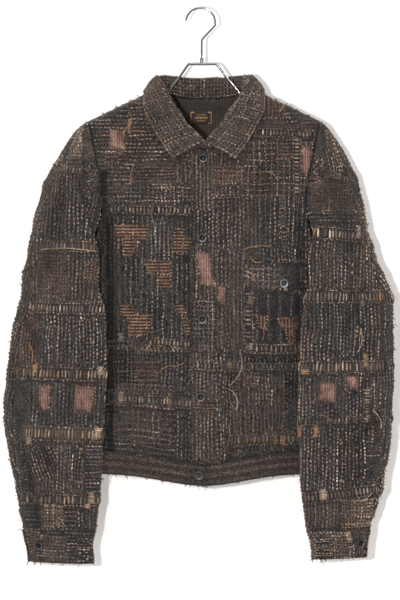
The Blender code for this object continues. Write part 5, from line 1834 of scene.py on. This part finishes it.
def band_sewing(middle, turn, length, width, pitch, thread):
    """Broad rungs square across a band, small stitches along both its edges, and black ones just below it as
    a painted shadow.
    """

    def turned_to(a, b):
        """u and v of places a along the band and b beside its middle line."""
        cos, sin = math.cos(turn), math.sin(turn)
        return middle[0] + a * cos - b * sin, middle[1] + a * sin + b * cos

    rungs = np.arange(-length / 2 + pitch / 2, length / 2, pitch)
    rungs = rungs + chance.normal(0, 0.0004, len(rungs))
    parts = [(rungs, chance.normal(0, 0.0005, len(rungs)), math.pi / 2, width * 0.78, 0.0029)]
    for offset in (-width * 0.44, width * 0.44):
        run = np.arange(-length / 2, length / 2, 0.0058) + chance.uniform(0, 0.005)
        parts.append((run, np.full_like(run, offset), 0.0, 0.0046, 0.0017))
    rows = []
    for a, b, own, size, wide in parts:
        colour = threads_of(thread, len(a)) * chance.uniform(0.30, 0.95, (len(a), 1))
        size = size * chance.uniform(0.75, 1.12, len(a))
        own = own + turn + chance.normal(0, 0.05, len(a))
        row = sewn(*turned_to(a, b), own, size, wide * chance.uniform(0.7, 1.2, len(a)), BAND_LIFT, colour)
        rows.append(row[chance.random(len(row)) < 0.93])
    # painted shadow: a row of black stitches just below the band
    run = np.arange(-length / 2, length / 2, 0.0052)
    u, v = turned_to(run, width * 0.5 + 0.0030 + 0.0006 * np.sin(run * 90))
    own, wide = turn + chance.normal(0, 0.05, len(run)), chance.uniform(0.0018, 0.0034, len(run))
    rows.append(sewn(u, v, own, 0.0062, wide, 0.0004, threads_of("black", len(run))))
    return np.concatenate(rows)


def knot_sewing(cloth, x, z, width, height, thread):
    """A block of satin stitches, side by side."""
    (u0,), (v0,) = cloth.find(x * MM, z * MM)
    lines = np.arange(-height / 2 + 0.7, height / 2, 1.5) * MM
    colour = threads_of(thread, len(lines)) * chance.uniform(0.7, 1.1, (len(lines), 1))
    size = width * MM * chance.uniform(0.75, 1.1, len(lines))
    aside = chance.normal(0, 0.0006, len(lines))
    askew = chance.normal(0, 0.16, len(lines))
    return sewn(u0 + aside, v0 + lines, askew, size, 0.0017, BAND_LIFT + 0.0003, colour)


def stroke_sewing(cloth, x0, z0, x1, z1, bow, thread):
    """One long loose thread: a straight line between two places plus 4 t (1 - t) * bow to its side."""
    u, v = cloth.find(np.array([x0, x1]) * MM, np.array([z0, z1]) * MM)
    length = math.hypot(u[1] - u[0], v[1] - v[0])
    t = np.arange(max(3, int(length / 0.0026))) + 0.5
    t = t / len(t)
    across = np.array([v[1] - v[0], u[0] - u[1]]) / length * bow * MM
    line = [p[0] + (p[1] - p[0]) * t + 4 * t * (1 - t) * a for p, a in zip((u, v), across)]
    way = [np.gradient(x) for x in line]
    colour = threads_of(thread, 1) * chance.uniform(0.75, 1.1, (len(t), 1))
    return sewn(*line, np.arctan2(way[1], way[0]), 0.0042, 0.0016, BAND_LIFT, colour)


def edge_sewing(cloth, inset, thread):
    """Long stitches in a line inside a piece's lower edge and both its ends."""
    foot, low, high = cloth.v[-1] - inset, cloth.low, cloth.high
    u = np.arange(low[-1] + inset, high[-1] - inset, 0.0064)
    v = np.arange(inset, foot, 0.0064)
    turn = np.repeat((0.0, math.pi / 2), (len(u), 2 * len(v)))
    ends = [np.interp(v, cloth.v, low) + inset, np.interp(v, cloth.v, high) - inset]
    u, v = np.concatenate([u, *ends]), np.concatenate([np.full(len(u), foot), v, v])
    colour = threads_of(thread, len(u)) * chance.uniform(0.45, 1.0, (len(u), 1))
    return sewn(u, v, turn + chance.normal(0, 0.06, len(u)), 0.0054, 0.0020, 0.0004, colour)


square = np.array([(0, 0), (1, 0), (1, 1), (0, 1)])
print("the middle of a square is inside it:", in_quad(np.array([0.5]), np.array([0.5]), square))


# %% All the sewing of each panel
def sewing_of(plan):
    """Stitches of a panel: fields, scraps, bands, knots and loose threads; and the dim ones between rows."""
    cloth, bright, dim = cloths[plan], [NO_STITCHES], [NO_STITCHES]
    blocks = [corners_in(cloth, *row[:4]) for row in FIELDS[plan]]
    corners_here = [(finish, corners) for owner, finish, corners in scrap_corners if owner == plan]
    for k, (row, block) in enumerate(zip(FIELDS[plan], blocks)):
        *_, ground, sewing, pitch, thread = row
        if sewing == "plain":
            continue
        both = row_stitches(block, sewing, pitch * MM, thread, GROUND[ground])
        for target, rows in zip((bright, dim), both):
            free = np.ones(len(rows), bool)
            for u0, u1, v0, v1 in blocks[k + 1 :]:
                free &= ~((rows[:, 0] > u0) & (rows[:, 0] < u1) & (rows[:, 1] > v0) & (rows[:, 1] < v1))
            for finish, corners in corners_here:
                inside = in_quad(rows[:, 0], rows[:, 1], corners)
                rows[inside, 5] = SCRAP_LIFT
                if finish not in SCRAP_SHADE:
                    share = 0.0 if target is dim else 0.34
                    free &= ~(inside & (chance.random(len(rows)) > share))
            target.append(rows[free])
    bright += [
        basting(corners, "dull" if finish == "pink_cloth" else "tan") for finish, corners in corners_here
    ]
    bright += [band_sewing(*line) for owner, *line in band_lines if owner == plan]
    bright += [knot_sewing(cloth, *row) for row in KNOTS.get(plan, ())]
    bright += [stroke_sewing(cloth, *row) for row in STROKES.get(plan, ())]
    if plan == "collar":
        bright += [edge_sewing(cloth, 0.0034, "tan")]
    return np.concatenate(bright), np.concatenate(dim)


def thread_arrays(cloth, rows, height, base, shares):
    """Points of all threads: a sunk tip, one or two rings of left, top and right, and the other tip."""
    u, v, turn, length, width, lift = rows[:, :6].T
    places = []
    for share in shares:
        points, normals, on = cloth.read(u + np.cos(turn) * length * share, v + np.sin(turn) * length * share)
        places.append((points + normals * (layer_height(points, lift) + base)[:, None], normals, on))
    along = unit(places[-1][0] - places[0][0])
    columns = []
    for middle, normal, _ in places[1:-1]:
        side = unit(np.cross(along, normal)) * (width / 2)[:, None]
        low = middle - normal * 0.0002
        columns += [low - side, middle + normal * height[:, None], low + side]
    ends = [point - normal * 0.0004 for point, normal, _ in (places[0], places[-1])]
    keep = places[0][2] & places[-1][2]
    return np.stack([ends[0], *columns, ends[1]], axis=1)[keep], keep


def threads_object(kind, plan, rows, height, base, shares, pattern):
    """One mesh of all the stitches in rows, in their colours, darkened by the painted shadow and crease shade
    of the cloth below.
    """
    points, keep = thread_arrays(cloths[plan], rows, height, base, shares)
    corners = points.shape[1]
    colour = rows[keep, 6:] * (painted_shadows(plan, points[:, 1]) * painted_crease_shade(plan, points[:, 1]))[:, None]
    faces = copies(pattern, corners, len(points))
    shade = np.repeat(colour, corners, axis=0)
    return mesh_object(f"{kind}_{plan}", points.reshape(-1, 3), faces, "thread", shade=shade)


stitch_objects = {}
for plan in FIELDS:
    rows, dim_rows = sewing_of(plan)
    stitch_objects[plan] = made = []
    if len(dim_rows):
        height = chance.uniform(0.0004, 0.0007, len(dim_rows))
        made.append(threads_object("quilting", plan, dim_rows, height, 0.0, (-0.5, 0.0, 0.5), DIM_FACES))
    if len(rows):
        height = 0.0004 + 0.42 * rows[:, 4]
        made.append(
            threads_object("sewing", plan, rows, height, 0.0003, (-0.5, -0.24, 0.24, 0.5), STITCH_FACES)
        )
thread_triangles = {plan: sum(len(o.data.polygons) for o in made) for plan, made in stitch_objects.items()}
print("thread triangles", thread_triangles)

# %% [markdown]
# ## Frayed threads
# Every raw edge has lost some weft, so threads stand off the seams, the hem and the
# patches. A hair system could grow them, but it bakes badly. Each thread here is a
# thin curl with three sides, and all of a panel's threads are one mesh.

# %% Frays
FRAY_STATIONS = np.linspace(0, 1, 5)


def fray_arrays(start, out, length, radius):
    """start + out * length * t, curled by two sine waves, bent down by t^2; a triangle carried along it."""
    t = FRAY_STATIONS[None, :, None]
    count = len(start)
    one, two = unit(chance.normal(size=(2, count, 3)))
    phase = chance.uniform(0, TURN, (2, count, 1, 1))
    size = length[:, None, None]
    waves = np.sin(4 * t + phase[0]) * one[:, None] + np.sin(5 * t + phase[1]) * two[:, None]
    curl = 0.42 * size * t * waves
    outward = start[:, None] + out[:, None] * size * t * (1 - 0.2 * t)
    path = outward + curl - np.array([0, 0, 0.25]) * size * t**2
    tangent = unit(np.gradient(path, axis=1))
    side = unit(np.cross(tangent, two[:, None] + 0.01))
    over = np.cross(side, tangent)
    angle = np.radians([0, 120, 240])[None, None, :, None]
    thick = (radius[:, None] * (1 - 0.45 * FRAY_STATIONS))[:, :, None, None]
    return path[:, :, None] + thick * (np.cos(angle) * side[:, :, None] + np.sin(angle) * over[:, :, None])


def fray_faces():
    """The walls between the triangles of one thread, and its two ends."""
    i = np.arange(len(FRAY_STATIONS) * 3).reshape(-1, 3)
    a, b = i[:-1], i[1:]
    quads = np.stack([a, b, np.roll(b, -1, axis=1), np.roll(a, -1, axis=1)], axis=-1).reshape(-1, 4)
    return np.concatenate([halves(quads), [[0, 1, 2]], [i[-1, ::-1]]])


def on_edge(line, inner, normals, pitch, clump=0.6):
    """Places along an edge, gathered in clumps, and their outward directions."""
    run = run_of(gaps(line))
    count = int(run[-1] / pitch)
    clumps = chance.uniform(0, run[-1], max(1, count // 9))
    gathered = chance.random(count) < clump
    near_clump = chance.choice(clumps, count) + chance.normal(0, 0.0022, count)
    where = np.clip(np.where(gathered, near_clump, chance.uniform(0, run[-1], count)), 0, run[-1])
    place, away, facing = (
        np.stack([np.interp(where, run, a[:, k]) for k in range(3)], axis=1)
        for a in (line, line - inner, normals)
    )
    out = unit(0.8 * unit(away) + 0.4 * facing + chance.normal(0, 0.8, place.shape))
    return place - 0.0005 * facing, out


print("faces of a frayed thread", len(fray_faces()))

# %% Edges that fray
FRAY_EDGES = {  # piece: edges that fray, and the distance between threads in mm
    "front_right_yoke": ("top", 3.5), "front_left": ("top", 3.5), "back_yoke": ("top", 4.0),
    "sleeve_right_front": ("left right", 4.2), "sleeve_left_front": ("left right", 4.2),
    "sleeve_right_back": ("left right outside", 5.0), "sleeve_left_back": ("left right outside", 5.0),
    "waistband": ("top bottom", 4.6), "cuff_right": ("top bottom left", 3.6),
    "cuff_left": ("top bottom right", 3.6), "collar": ("bottom left right", 4.4),
    "chest_pocket": ("bottom left right", 3.0), "pocket_flap": ("bottom left right", 3.0),
    "button_placket": ("left right", 3.5),
}
fray_objects = {}
for name, (edges, pitch) in FRAY_EDGES.items():
    points, normals = surfaces[name]
    rows, outermost = np.arange(len(points)), np.abs(points[..., 0] - MIDDLE).argmax(axis=1)
    outside = points[rows, outermost]
    lines = {
        "top": (points[0], points[1], normals[0]), "bottom": (points[-1], points[-2], normals[-1]),
        "left": (points[:, 0], points[:, 1], normals[:, 0]),
        "right": (points[:, -1], points[:, -2], normals[:, -1]),
        "outside": (outside, outside * (0.97, 1, 1), normals[rows, outermost]),
    }
    found = [on_edge(*lines[edge], pitch * MM) for edge in edges.split()]
    if name == "collar":
        roll, columns = points[..., 2].argmax(axis=0), np.arange(points.shape[1])
        top = points[roll, columns]
        found.append(on_edge(top, top - (0, 0, 0.01), normals[roll, columns], 0.007))
    start, out = (np.concatenate(x) for x in zip(*found))
    count = len(start)
    length = chance.gamma(2.0, 0.0014, count).clip(0.0012, 0.007) + 0.004 * (chance.random(count) < 0.06)
    rings = fray_arrays(start, out, length, chance.uniform(0.0004, 0.0009, count))
    corners = rings.shape[1] * 3
    colour = np.where(chance.random((count, 1)) < 0.6, threads_of("dark", count), threads_of("tan", count))
    shade = np.repeat(colour * chance.uniform(0.3, 0.85, (count, 1)), corners, axis=0)
    faces = copies(fray_faces(), corners, count)
    fray_objects[name] = mesh_object(f"frays_{name}", rings.reshape(-1, 3), faces, "thread", shade=shade)
print("frays", sum(len(o.data.polygons) for o in fray_objects.values()) // len(fray_faces()))

# %% [markdown]
# ## Buttons, label and hanger
# A turned metal button is a lathe shape: a profile carried round a circle. A wire is
# a small circle carried along a path. Screw and curve bevels would make both.
# Arrays make them with as many sides as a close look needs.


# %% Metal and label finishes
def dark_metal(name, low, high):
    """Dark gunmetal between two greys, rubbed brighter in places and dull in its pits."""
    _, t = new_material(name, 0.34, metal=0.85)
    place = t.place()
    pits = t.noise(place, 900, 4, 0.7)
    colour = t.mix(t.noise(place, 300, 3), linear(low, low, low + 2), linear(high, high - 2, high))
    rubbed = linear(high + 40, high + 36, high + 32)
    colour = t.mix(t.ramp(pits, (0.56, 0), (0.70, 0.6)), colour, rubbed)
    rough = t.ramp(pits, (0.3, 0.26), (0.7, 0.5))
    return t.finish(t.times(colour, t.shade()), t.bump(pits, 0.3, 0.0003), rough)


def steel_wire():
    """Bright chromed wire with fine drawn scratches and a few dull spots."""
    _, t = new_material("chromed wire", 0.12, metal=1.0)
    place = t.place()
    spots = t.ramp(t.noise(place, 260, 5, 0.7), (0.52, 0), (0.70, 1))
    rough = t.ramp(t.noise(place, 500, 4), (0.3, 0.05), (0.7, 0.13))
    colour = t.mix(spots, linear(140, 140, 142), linear(92, 90, 88))
    return t.finish(colour, t.bump(t.noise(place, 1800, 3), 0.12, 0.0002), rough)


def woven_label():
    """Dark satin with a gold bracket at each end and three worn bars between, by its own width and height."""
    _, t = new_material("woven label", 0.6, sheen=0.2)
    place, split = t.place(), t.node("SeparateXYZ", {0: t.uv()})
    beside, above = (t.level("ABSOLUTE", t.level("SUBTRACT", split.outputs[k], 0.5)) for k in (0, 1))

    def both(a, b):
        return t.level("MULTIPLY", a, b)

    def over(distance, limit):
        return t.level("GREATER_THAN", distance, limit)

    def within(distance, limit):
        return t.level("LESS_THAN", distance, limit)

    bracket = t.level("MAXIMUM", over(beside, 0.462), both(over(above, 0.41), over(beside, 0.34)))
    thick = both(within(above, 0.09), within(beside, 0.30))
    thin = both(within(t.level("ABSOLUTE", t.level("SUBTRACT", above, 0.26)), 0.035), within(beside, 0.22))
    bars = both(t.level("MAXIMUM", thick, thin), over(t.noise(place, 900, 1), 0.47))
    gold = t.mix(t.noise(place, 1200, 2), linear(150, 112, 70), linear(200, 152, 94))
    dark = t.mix(t.noise(place, 900, 2), linear(36, 32, 32), linear(56, 50, 48))
    colour = t.mix(t.level("MAXIMUM", bracket, bars), dark, gold)
    return t.finish(colour, t.bump(waves_of(t, place, 1600, 1600)[0], 0.3, 0.0003))


MATERIALS["button"] = dark_metal("dark button metal", 62, 92)
# a paler copy of the same metal, painted as lit, for the pocket button
MATERIALS["button_rubbed"] = dark_metal("rubbed button metal", 122, 152)
MATERIALS["chrome"], MATERIALS["label"] = steel_wire(), woven_label()
print("finishes:", len(MATERIALS))

# %% Buttons
BUTTON_R, BUTTON_H = 0.0078, 0.0034
BUTTON_PROFILE = np.array([  # radius and height as shares, from the middle out and under
    (0.00, 0.34), (0.10, 0.36), (0.17, 0.44), (0.22, 0.40), (0.27, 0.24), (0.36, 0.18), (0.46, 0.22),
    (0.53, 0.48), (0.58, 0.82), (0.66, 0.97), (0.74, 1.00), (0.84, 0.94), (0.93, 0.78), (0.985, 0.58),
    (1.00, 0.42), (0.97, 0.22), (0.90, 0.08), (0.78, 0.00), (0.40, 0.00), (0.24, 0.00), (0.24, -0.30),
    (0.0, -0.30),
])
BUTTON_ON = {
    **{f"button_front_{k}": "button_placket" for k in range(1, 5)},
    "button_waistband": "waistband", "button_pocket": "pocket_flap",
    "button_cuff_right": "cuff_right", "button_cuff_left": "cuff_left",
}


def turned(profile, sides):
    """A profile of radius and height carried round; both ends lie on the axis and close."""
    angle = np.linspace(0, 2 * np.pi, sides, endpoint=False)
    ring = np.stack([np.cos(angle), np.sin(angle)], axis=1)
    body = profile[1:-1]
    heights = np.broadcast_to(body[:, None, 1:], (len(body), sides, 1))
    points = np.concatenate([body[:, None, :1] * ring, heights], axis=2)
    i = np.arange(len(body) * sides).reshape(len(body), sides)
    around = np.roll(i, -1, axis=1)
    walls = np.stack([i[:-1], i[1:], around[1:], around[:-1]], axis=-1).reshape(-1, 4)
    first, last = np.full(sides, len(body) * sides), np.full(sides, len(body) * sides + 1)
    caps = [np.stack([first, i[0], around[0]], axis=1), np.stack([last, around[-1], i[-1]], axis=1)]
    ends = [(0, 0, profile[0, 1]), (0, 0, profile[-1, 1])]
    return np.concatenate([points.reshape(-1, 3), ends]), np.concatenate([halves(walls), *caps])


for name, cloth_name in BUTTON_ON.items():
    low, high = (np.array(corner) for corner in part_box(name))
    cloth = cloths[cloth_name]
    (u,), (v,) = cloth.find((low[0] + high[0]) / 2, (low[2] + high[2]) / 2)
    place, normal, _ = cloth.read(np.array([u]), np.array([v]))
    right = unit(np.cross((0.0, 0.0, 1.0), normal[0]) * -1)
    up = np.cross(normal[0], right)
    points, faces = turned(BUTTON_PROFILE * (BUTTON_R, BUTTON_H), 48)
    out, turn = np.hypot(points[:, 0], points[:, 1]) / BUTTON_R, np.arctan2(points[:, 1], points[:, 0])
    # painted shade and highlight by radius: dark in the hollow, light on the raised ring, dimmer at the outer
    # rim
    wear_and_painted_light = 0.16 + 0.84 * smooth((out - 0.46) / 0.12) * (1 - 0.7 * smooth((out - 0.84) / 0.12))
    # one side painted lighter as a highlight, and a painted glint at the middle
    wear_and_painted_light = wear_and_painted_light * (0.62 + 0.9 * smooth(np.cos(turn - 1.9) * 1.4 - 0.2)) + 0.5 * (out < 0.12)
    points = place[0] + points[:, :1] * right + points[:, 1:2] * up + (points[:, 2:] + 0.0011) * normal[0]
    # the pocket button takes the paler copy, painted as lit
    finish = "button_rubbed" if name == "button_pocket" else "button"
    made = mesh_object(f"turned_{name}", points, faces, finish, shade=np.repeat(wear_and_painted_light[:, None], 3, axis=1))
    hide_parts(name)
    objects[name] = made
print("buttons", len(BUTTON_ON), "of", round(BUTTON_R * 2000, 1), "mm")

# %% Hanger
WIRE_R, HOOK_R, STEM_X = 0.00175, 0.0235, 0.002
STEM_TOP, STEM_BOTTOM = -0.0504, -0.0788
FERRULE = np.array([  # radius and height
    (0.0, -0.0792), (0.0022, -0.0792), (0.0028, -0.0796), (0.0030, -0.0803), (0.0030, -0.0872),
    (0.0028, -0.0879), (0.0022, -0.0883), (0.0, -0.0883),
])
HANGER_NECK = (  # x and z of the wire from the ferrule to the shoulder
    (0.0, -0.0890), (0.0100, -0.0890), (0.0205, -0.0890), (0.0245, -0.0915), (0.0400, -0.1130),
    (0.0480, -0.1225), (0.0640, -0.1412),
)
HANGER_END, HANGER_HALF_WIDTH, BELOW_RIDGE = 0.170, 0.005, 0.0118


def tube(points, radius, sides, up, closed=False):
    """A circle carried along a path: its own side is tangent x up, and open ends are drawn in to a point."""
    if closed:
        tangent = unit(np.roll(points, -1, axis=0) - np.roll(points, 1, axis=0))
    else:
        ahead, back = unit(points[0] - points[1]), unit(points[-1] - points[-2])
        first_tip, last_tip = points[0] + ahead * radius * 0.3, points[-1] + back * radius * 0.3
        points = np.concatenate([[first_tip], points, [last_tip]])
        tangent = unit(np.gradient(points, axis=0))
    side = unit(np.cross(tangent, up))
    over = np.cross(side, tangent)
    angle = np.linspace(0, 2 * np.pi, sides, endpoint=False)[None, :, None]
    count = len(points)
    size = np.full(count, radius)
    if not closed:
        size[[0, -1]] *= 0.55
    spokes = np.cos(angle) * side[:, None] + np.sin(angle) * over[:, None]
    rings = points[:, None] + spokes * size[:, None, None]
    i = np.arange(count * sides).reshape(count, sides)
    above, below = (i, np.roll(i, -1, axis=0)) if closed else (i[:-1], i[1:])
    four = [above, np.roll(above, -1, axis=1), np.roll(below, -1, axis=1), below]
    quads = np.stack(four, axis=-1).reshape(-1, 4)
    flat, triangles = rings.reshape(-1, 3), halves(quads)
    if not closed:
        flat = np.concatenate([flat, points[[0, -1]]])
        first, last = np.full(sides, count * sides), np.full(sides, count * sides + 1)
        caps = (
            np.stack([first, np.roll(i[0], -1), i[0]], axis=1),
            np.stack([last, i[-1], np.roll(i[-1], -1)], axis=1),
        )
        triangles = np.concatenate([triangles, *caps])
    return flat, triangles[:, ::-1]


print("wire", WIRE_R * 2000, "mm thick, on a hook", HOOK_R * 2000, "mm across")


# %% Hook, ferrule and double wire
def smoothed(points, count):
    """A smooth curve through points, read at evenly spaced places."""
    points = np.asarray(points)
    return spread(len(points), np.linspace(0, len(points) - 1, count)) @ points


arc = np.radians(np.linspace(172, -14, 60))
hook = np.stack([HOOK_R * np.cos(arc), np.zeros_like(arc), WIRE_R - HOOK_R + HOOK_R * np.sin(arc)], axis=1)
neck = smoothed([
    hook[-2], hook[-1], (STEM_X + 0.004, 0, STEM_TOP + 0.005), (STEM_X + 0.0004, 0, STEM_TOP),
    (STEM_X, 0, -0.058), (STEM_X, 0, STEM_BOTTOM),
], 40)
points, faces = tube(np.concatenate([hook[:-2], neck]), WIRE_R, 20, (0.0, 1.0, 0.0))
objects["hanger_hook"] = mesh_object("bent_hook", points, faces, "chrome")

points, faces = turned(FERRULE, 32)
objects["hanger_ferrule"] = mesh_object("pressed_ferrule", points + (STEM_X, 0, 0), faces, "chrome")

under = [(x, float(ridge(np.array(x))) - BELOW_RIDGE) for x in np.linspace(0.080, HANGER_END, 8)]
run = smoothed([*HANGER_NECK, *under], 90)
slope = (under[-1][1] - under[-2][1]) / (under[-1][0] - under[-2][0])
bend = np.radians(np.linspace(72, -72, 13))[:, None]
turn = np.concatenate([
    HANGER_END + HANGER_HALF_WIDTH * np.cos(bend), -HANGER_HALF_WIDTH * np.sin(bend),
    under[-1][1] + slope * HANGER_HALF_WIDTH * np.cos(bend),
], axis=1)
out = np.stack([run[:, 0], np.full(len(run), -HANGER_HALF_WIDTH), run[:, 1]], axis=1)
half = np.concatenate([out, turn, out[:0:-1] * (1, -1, 1)])
loop = np.concatenate([half, half * (-1, -1, 1)])
loop[:, 0] += STEM_X + (MIDDLE - STEM_X) * np.minimum(1.0, np.abs(loop[:, 0]) / NECK_SIDE[0])
points, faces = tube(loop, WIRE_R, 16, (0.0, 0.0, 1.0), closed=True)
objects["hanger_frame"] = mesh_object("double_wire", points, faces, "chrome")
for name in ("hanger_hook", "hanger_ferrule", "hanger_frame"):
    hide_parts(name)
print("hanger across in mm", round(float(np.ptp(loop[:, 0])) * 1000))

# %% Label
points, normals = grids["neck_label"], normals_of(grids["neck_label"])
surfaces["neck_label"] = points, normals
rows, columns = points.shape[:2]
label_uv = np.stack(np.meshgrid(np.linspace(0, 1, columns), np.linspace(0, 1, rows)), axis=2).reshape(-1, 2)
shell_points, faces = shell_arrays(points, normals, 0.0006)
both_sides = np.tile(label_uv, (2, 1))
objects["neck_label"] = mesh_object("worn_neck_label", shell_points, faces, "label", both_sides)
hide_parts("neck_label")
print("label points", rows, "by", columns)

# %% [markdown]
# ## The patches that the scraps stand for, and the cut of each panel
# The scraps stand for the larger patches that the solids show, and those solids
# are hidden. Every panel is a sheet: a table lists its cut as width and length,
# and its real area where the cut is not a rectangle. Each finished mesh is
# measured, and its width, length and area are printed.

# %% Scraps stand for the solids' patches
PATCH_NODES = {  # plan and finish: the patches that these scraps stand for
    ("front_right", "stripe_across"): (
        "patch_waist_right", "patch_hip_right", "patch_chest_right", "patch_centre_right",
    ),
    ("front_right", "boro_patch"): ("patch_lower_right",),
    ("front_left", "pink_cloth"): ("patch_chest_left",),
    ("front_left", "boro_patch"): ("patch_hip_left",),
    ("back", "dark_cloth"): ("patch_back_middle",),
    ("back", "boro_patch"): ("patch_back_low",),
    ("back", "stripe_across"): ("patch_back_side",),
    ("sleeve_right_front", "pink_cloth"): ("patch_forearm_right",),
    ("sleeve_right_back", "boro_patch"): ("patch_elbow_right",),
    ("sleeve_left_front", "pink_cloth"): ("patch_forearm_left",),
    ("sleeve_left_back", "boro_patch"): ("patch_elbow_left",),
}
for (plan, finish), nodes in PATCH_NODES.items():
    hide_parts(*nodes)
for plan, made in scrap_objects.items():
    for thing in made:
        finish = thing.name.removeprefix(f"scraps_{plan}_")
print("solids' patches stood for by scraps", sum(len(nodes) for nodes in PATCH_NODES.values()))


def measured(points):
    """Width, length and area of a grid in metres."""
    across, down = gaps(points, 1).sum(axis=1), gaps(points).sum(axis=0)
    a, b = points[1:, 1:] - points[:-1, :-1], points[:-1, 1:] - points[1:, :-1]
    return across.max(), down.max(), float(np.linalg.norm(np.cross(a, b), axis=2).sum() / 2)


for name, (points, _) in surfaces.items():
    print(name, "measures", [round(x, 4) for x in measured(points)])

# %% Cut sizes
TRUNK = ("front_right", "front_left", "back_body")
CUTS = {  # width, length and area of the cloth that shows, and what it rests on
    "back_yoke": (0.430, 0.158, 0.0475, ()), "back_body": (0.465, 0.480, 0.1925, ("back_yoke",)),
    "front_right_yoke": (0.290, 0.218, 0.0325, ()),
    "front_right": (0.255, 0.405, 0.0945, ("front_right_yoke",)),
    "front_left": (0.292, 0.610, 0.1270, ()),
    "sleeve_right_front": (0.294, 0.692, 0.0950, ("front_right", "front_right_yoke")),
    "sleeve_right_back": (0.286, 0.700, 0.1105, ("back_body",)),
    "sleeve_left_front": (0.294, 0.685, 0.0905, ("front_left",)),
    "sleeve_left_back": (0.284, 0.694, 0.1080, ("back_body",)),
    "cuff_right": (0.283, 0.054, 0.0138, ("sleeve_right_front", "sleeve_right_back")),
    "cuff_left": (0.257, 0.052, 0.0117, ("sleeve_left_front", "sleeve_left_back")),
    "collar": (0.548, 0.098, 0.0400, ("back_yoke",)), "waistband": (0.920, 0.037, 0.0324, TRUNK),
    "chest_pocket": (0.119, 0.107, 0.0122, ("front_left",)),
    "pocket_flap": (0.123, 0.046, 0.0052, ("front_left",)),
    "button_placket": (0.044, 0.508, 0.0209, TRUNK[:2]),
    "neck_lining": (0.158, 0.153, 0.0172, ("back_yoke",)),
    "neck_label": (0.0352, 0.0207, 0.00071, ("neck_lining",)),
}
for name, (wide, long, area, under_it) in CUTS.items():
    plan = "back" if name == "back_body" else name
    on_it = [*scrap_objects.get(plan, ()), *stitch_objects.get(plan, ())]
    on_it += [fray_objects[name]] if name in fray_objects else []
print("sheets", len(CUTS))

# %% [markdown]
# ## Light, backdrop and camera
# A small lamp a little to the left of the camera lights the jacket and gives
# it a faint shadow on the wall. A large soft one above fills the folds. The wall and
# the floor are white to the camera alone, through Light Path, so no extra light
# falls on the jacket. A lamp behind lights the back through the wall, which shows
# only from its front. A long lens keeps the garment flat.


# %% Backdrop
def seen_by_camera(t):
    """1 for what the camera sees, straight, mirrored or through glass, and 0 for all other light."""
    path = t.node("LightPath").outputs
    seen = t.level("MAXIMUM", path["Is Camera Ray"], path["Is Glossy Ray"])
    return t.level("MAXIMUM", seen, path["Is Transmission Ray"]), path["Is Shadow Ray"]


def pale(name, glow, front_only):
    """Matt white that glows to the camera; if front_only, it hides nothing from behind or from a lamp."""
    made, t = new_material(name, 0.95)
    nodes = made.node_tree.nodes
    uneven = t.noise(t.place(), 3, 2)
    white = t.ramp(uneven, (0.3, (0.81, 0.79, 0.775)), (0.7, (0.83, 0.81, 0.795)))
    t.link(white, nodes["Principled BSDF"].inputs["Base Color"])
    seen, shadow = seen_by_camera(t)
    strength = t.level("MULTIPLY", seen, glow)
    glowing = t.node("Emission", {"Color": (1.0, 0.975, 0.94, 1), "Strength": strength})
    both = t.node("AddShader", {0: nodes["Principled BSDF"].outputs[0], 1: glowing.outputs[0]})
    passed = t.level("MAXIMUM", t.node("NewGeometry").outputs["Backfacing"], shadow)
    clear = t.level("MULTIPLY", passed, 1.0 if front_only else 0.0)
    final = t.node("MixShader", {0: clear, 1: both.outputs[0], 2: t.node("BsdfTransparent").outputs[0]})
    t.link(final.outputs[0], nodes["Material Output"].inputs["Surface"])
    return made


def plane(name, half, low, high, material):
    """A rectangle between two level edges, each given by its y and z; it is no part of the jacket."""
    made = bpy.data.objects.new(name, bpy.data.meshes.new(name))
    corners = [(-half, *low), (half, *low), (half, *high), (-half, *high)]
    made.data.from_pydata(corners, [], [(0, 1, 2, 3)])
    made.data.materials.append(material)
    bpy.context.scene.collection.objects.link(made)
    return made


WALL_Y, FLOOR_Z, FAR = 0.074, -0.965, 3.0
wall = plane("studio_wall", FAR, (WALL_Y, FLOOR_Z), (WALL_Y, 2.2), pale("matt white wall", 0.235, True))
floor = plane("studio_floor", FAR, (-FAR, FLOOR_Z), (FAR, FLOOR_Z), pale("pale floor", 0.30, False))
card_black, _ = new_material("dark studio card", 0.9)
card_black.node_tree.nodes["Principled BSDF"].inputs["Base Color"].default_value = rgba(0.03)
card = plane("dark_card", 2.2, (-7.0, -3.0), (-7.0, 2.4), card_black)
card.visible_camera = card.visible_diffuse = card.visible_shadow = False
world = bpy.data.worlds.new("studio")
bpy.context.scene.world = world
world.use_nodes = True
t, background = node_tools(world.node_tree), world.node_tree.nodes["Background"].inputs
strength = t.node("MapRange", {"Value": seen_by_camera(t)[0], "To Min": 0.42, "To Max": 1.0})
t.link(strength.outputs[0], background["Strength"])
background["Color"].default_value = (1, 1, 1, 1)
print("backdrop: wall, floor and a dark card that only gloss shows")

# %% Lamps and camera
CHEST = (0, 0, -0.45)


def lamp(name, place, size, watts):
    """A round lamp that shines at the middle of the jacket."""
    light = bpy.data.lights.new(name, "AREA")
    light.shape, light.size, light.energy = "DISK", size, watts
    made = bpy.data.objects.new(name, light)
    made.location = place
    made.rotation_euler = (Vector(CHEST) - Vector(place)).to_track_quat("-Z", "Y").to_euler()
    bpy.context.scene.collection.objects.link(made)


lamp("key lamp", (-0.46, -4.2, -0.44), 0.12, 122)
lamp("fill lamp", (0.5, -2.9, 2.2), 2.2, 30)
lamp("back lamp", (-0.9, 3.4, 0.9), 1.4, 75)

camera = bpy.data.objects.new("camera", bpy.data.cameras.new("camera"))
camera.data.lens, camera.data.sensor_width = 200, 36
camera.location = (-0.0008, -5.37, -0.469)
camera.rotation_euler = (math.radians(90), 0, 0)
bpy.context.scene.collection.objects.link(camera)
bpy.context.scene.camera = camera
bpy.context.scene.view_settings.view_transform = "Standard"
print("camera at", tuple(round(c, 3) for c in camera.location), "with a lens of", camera.data.lens, "mm")
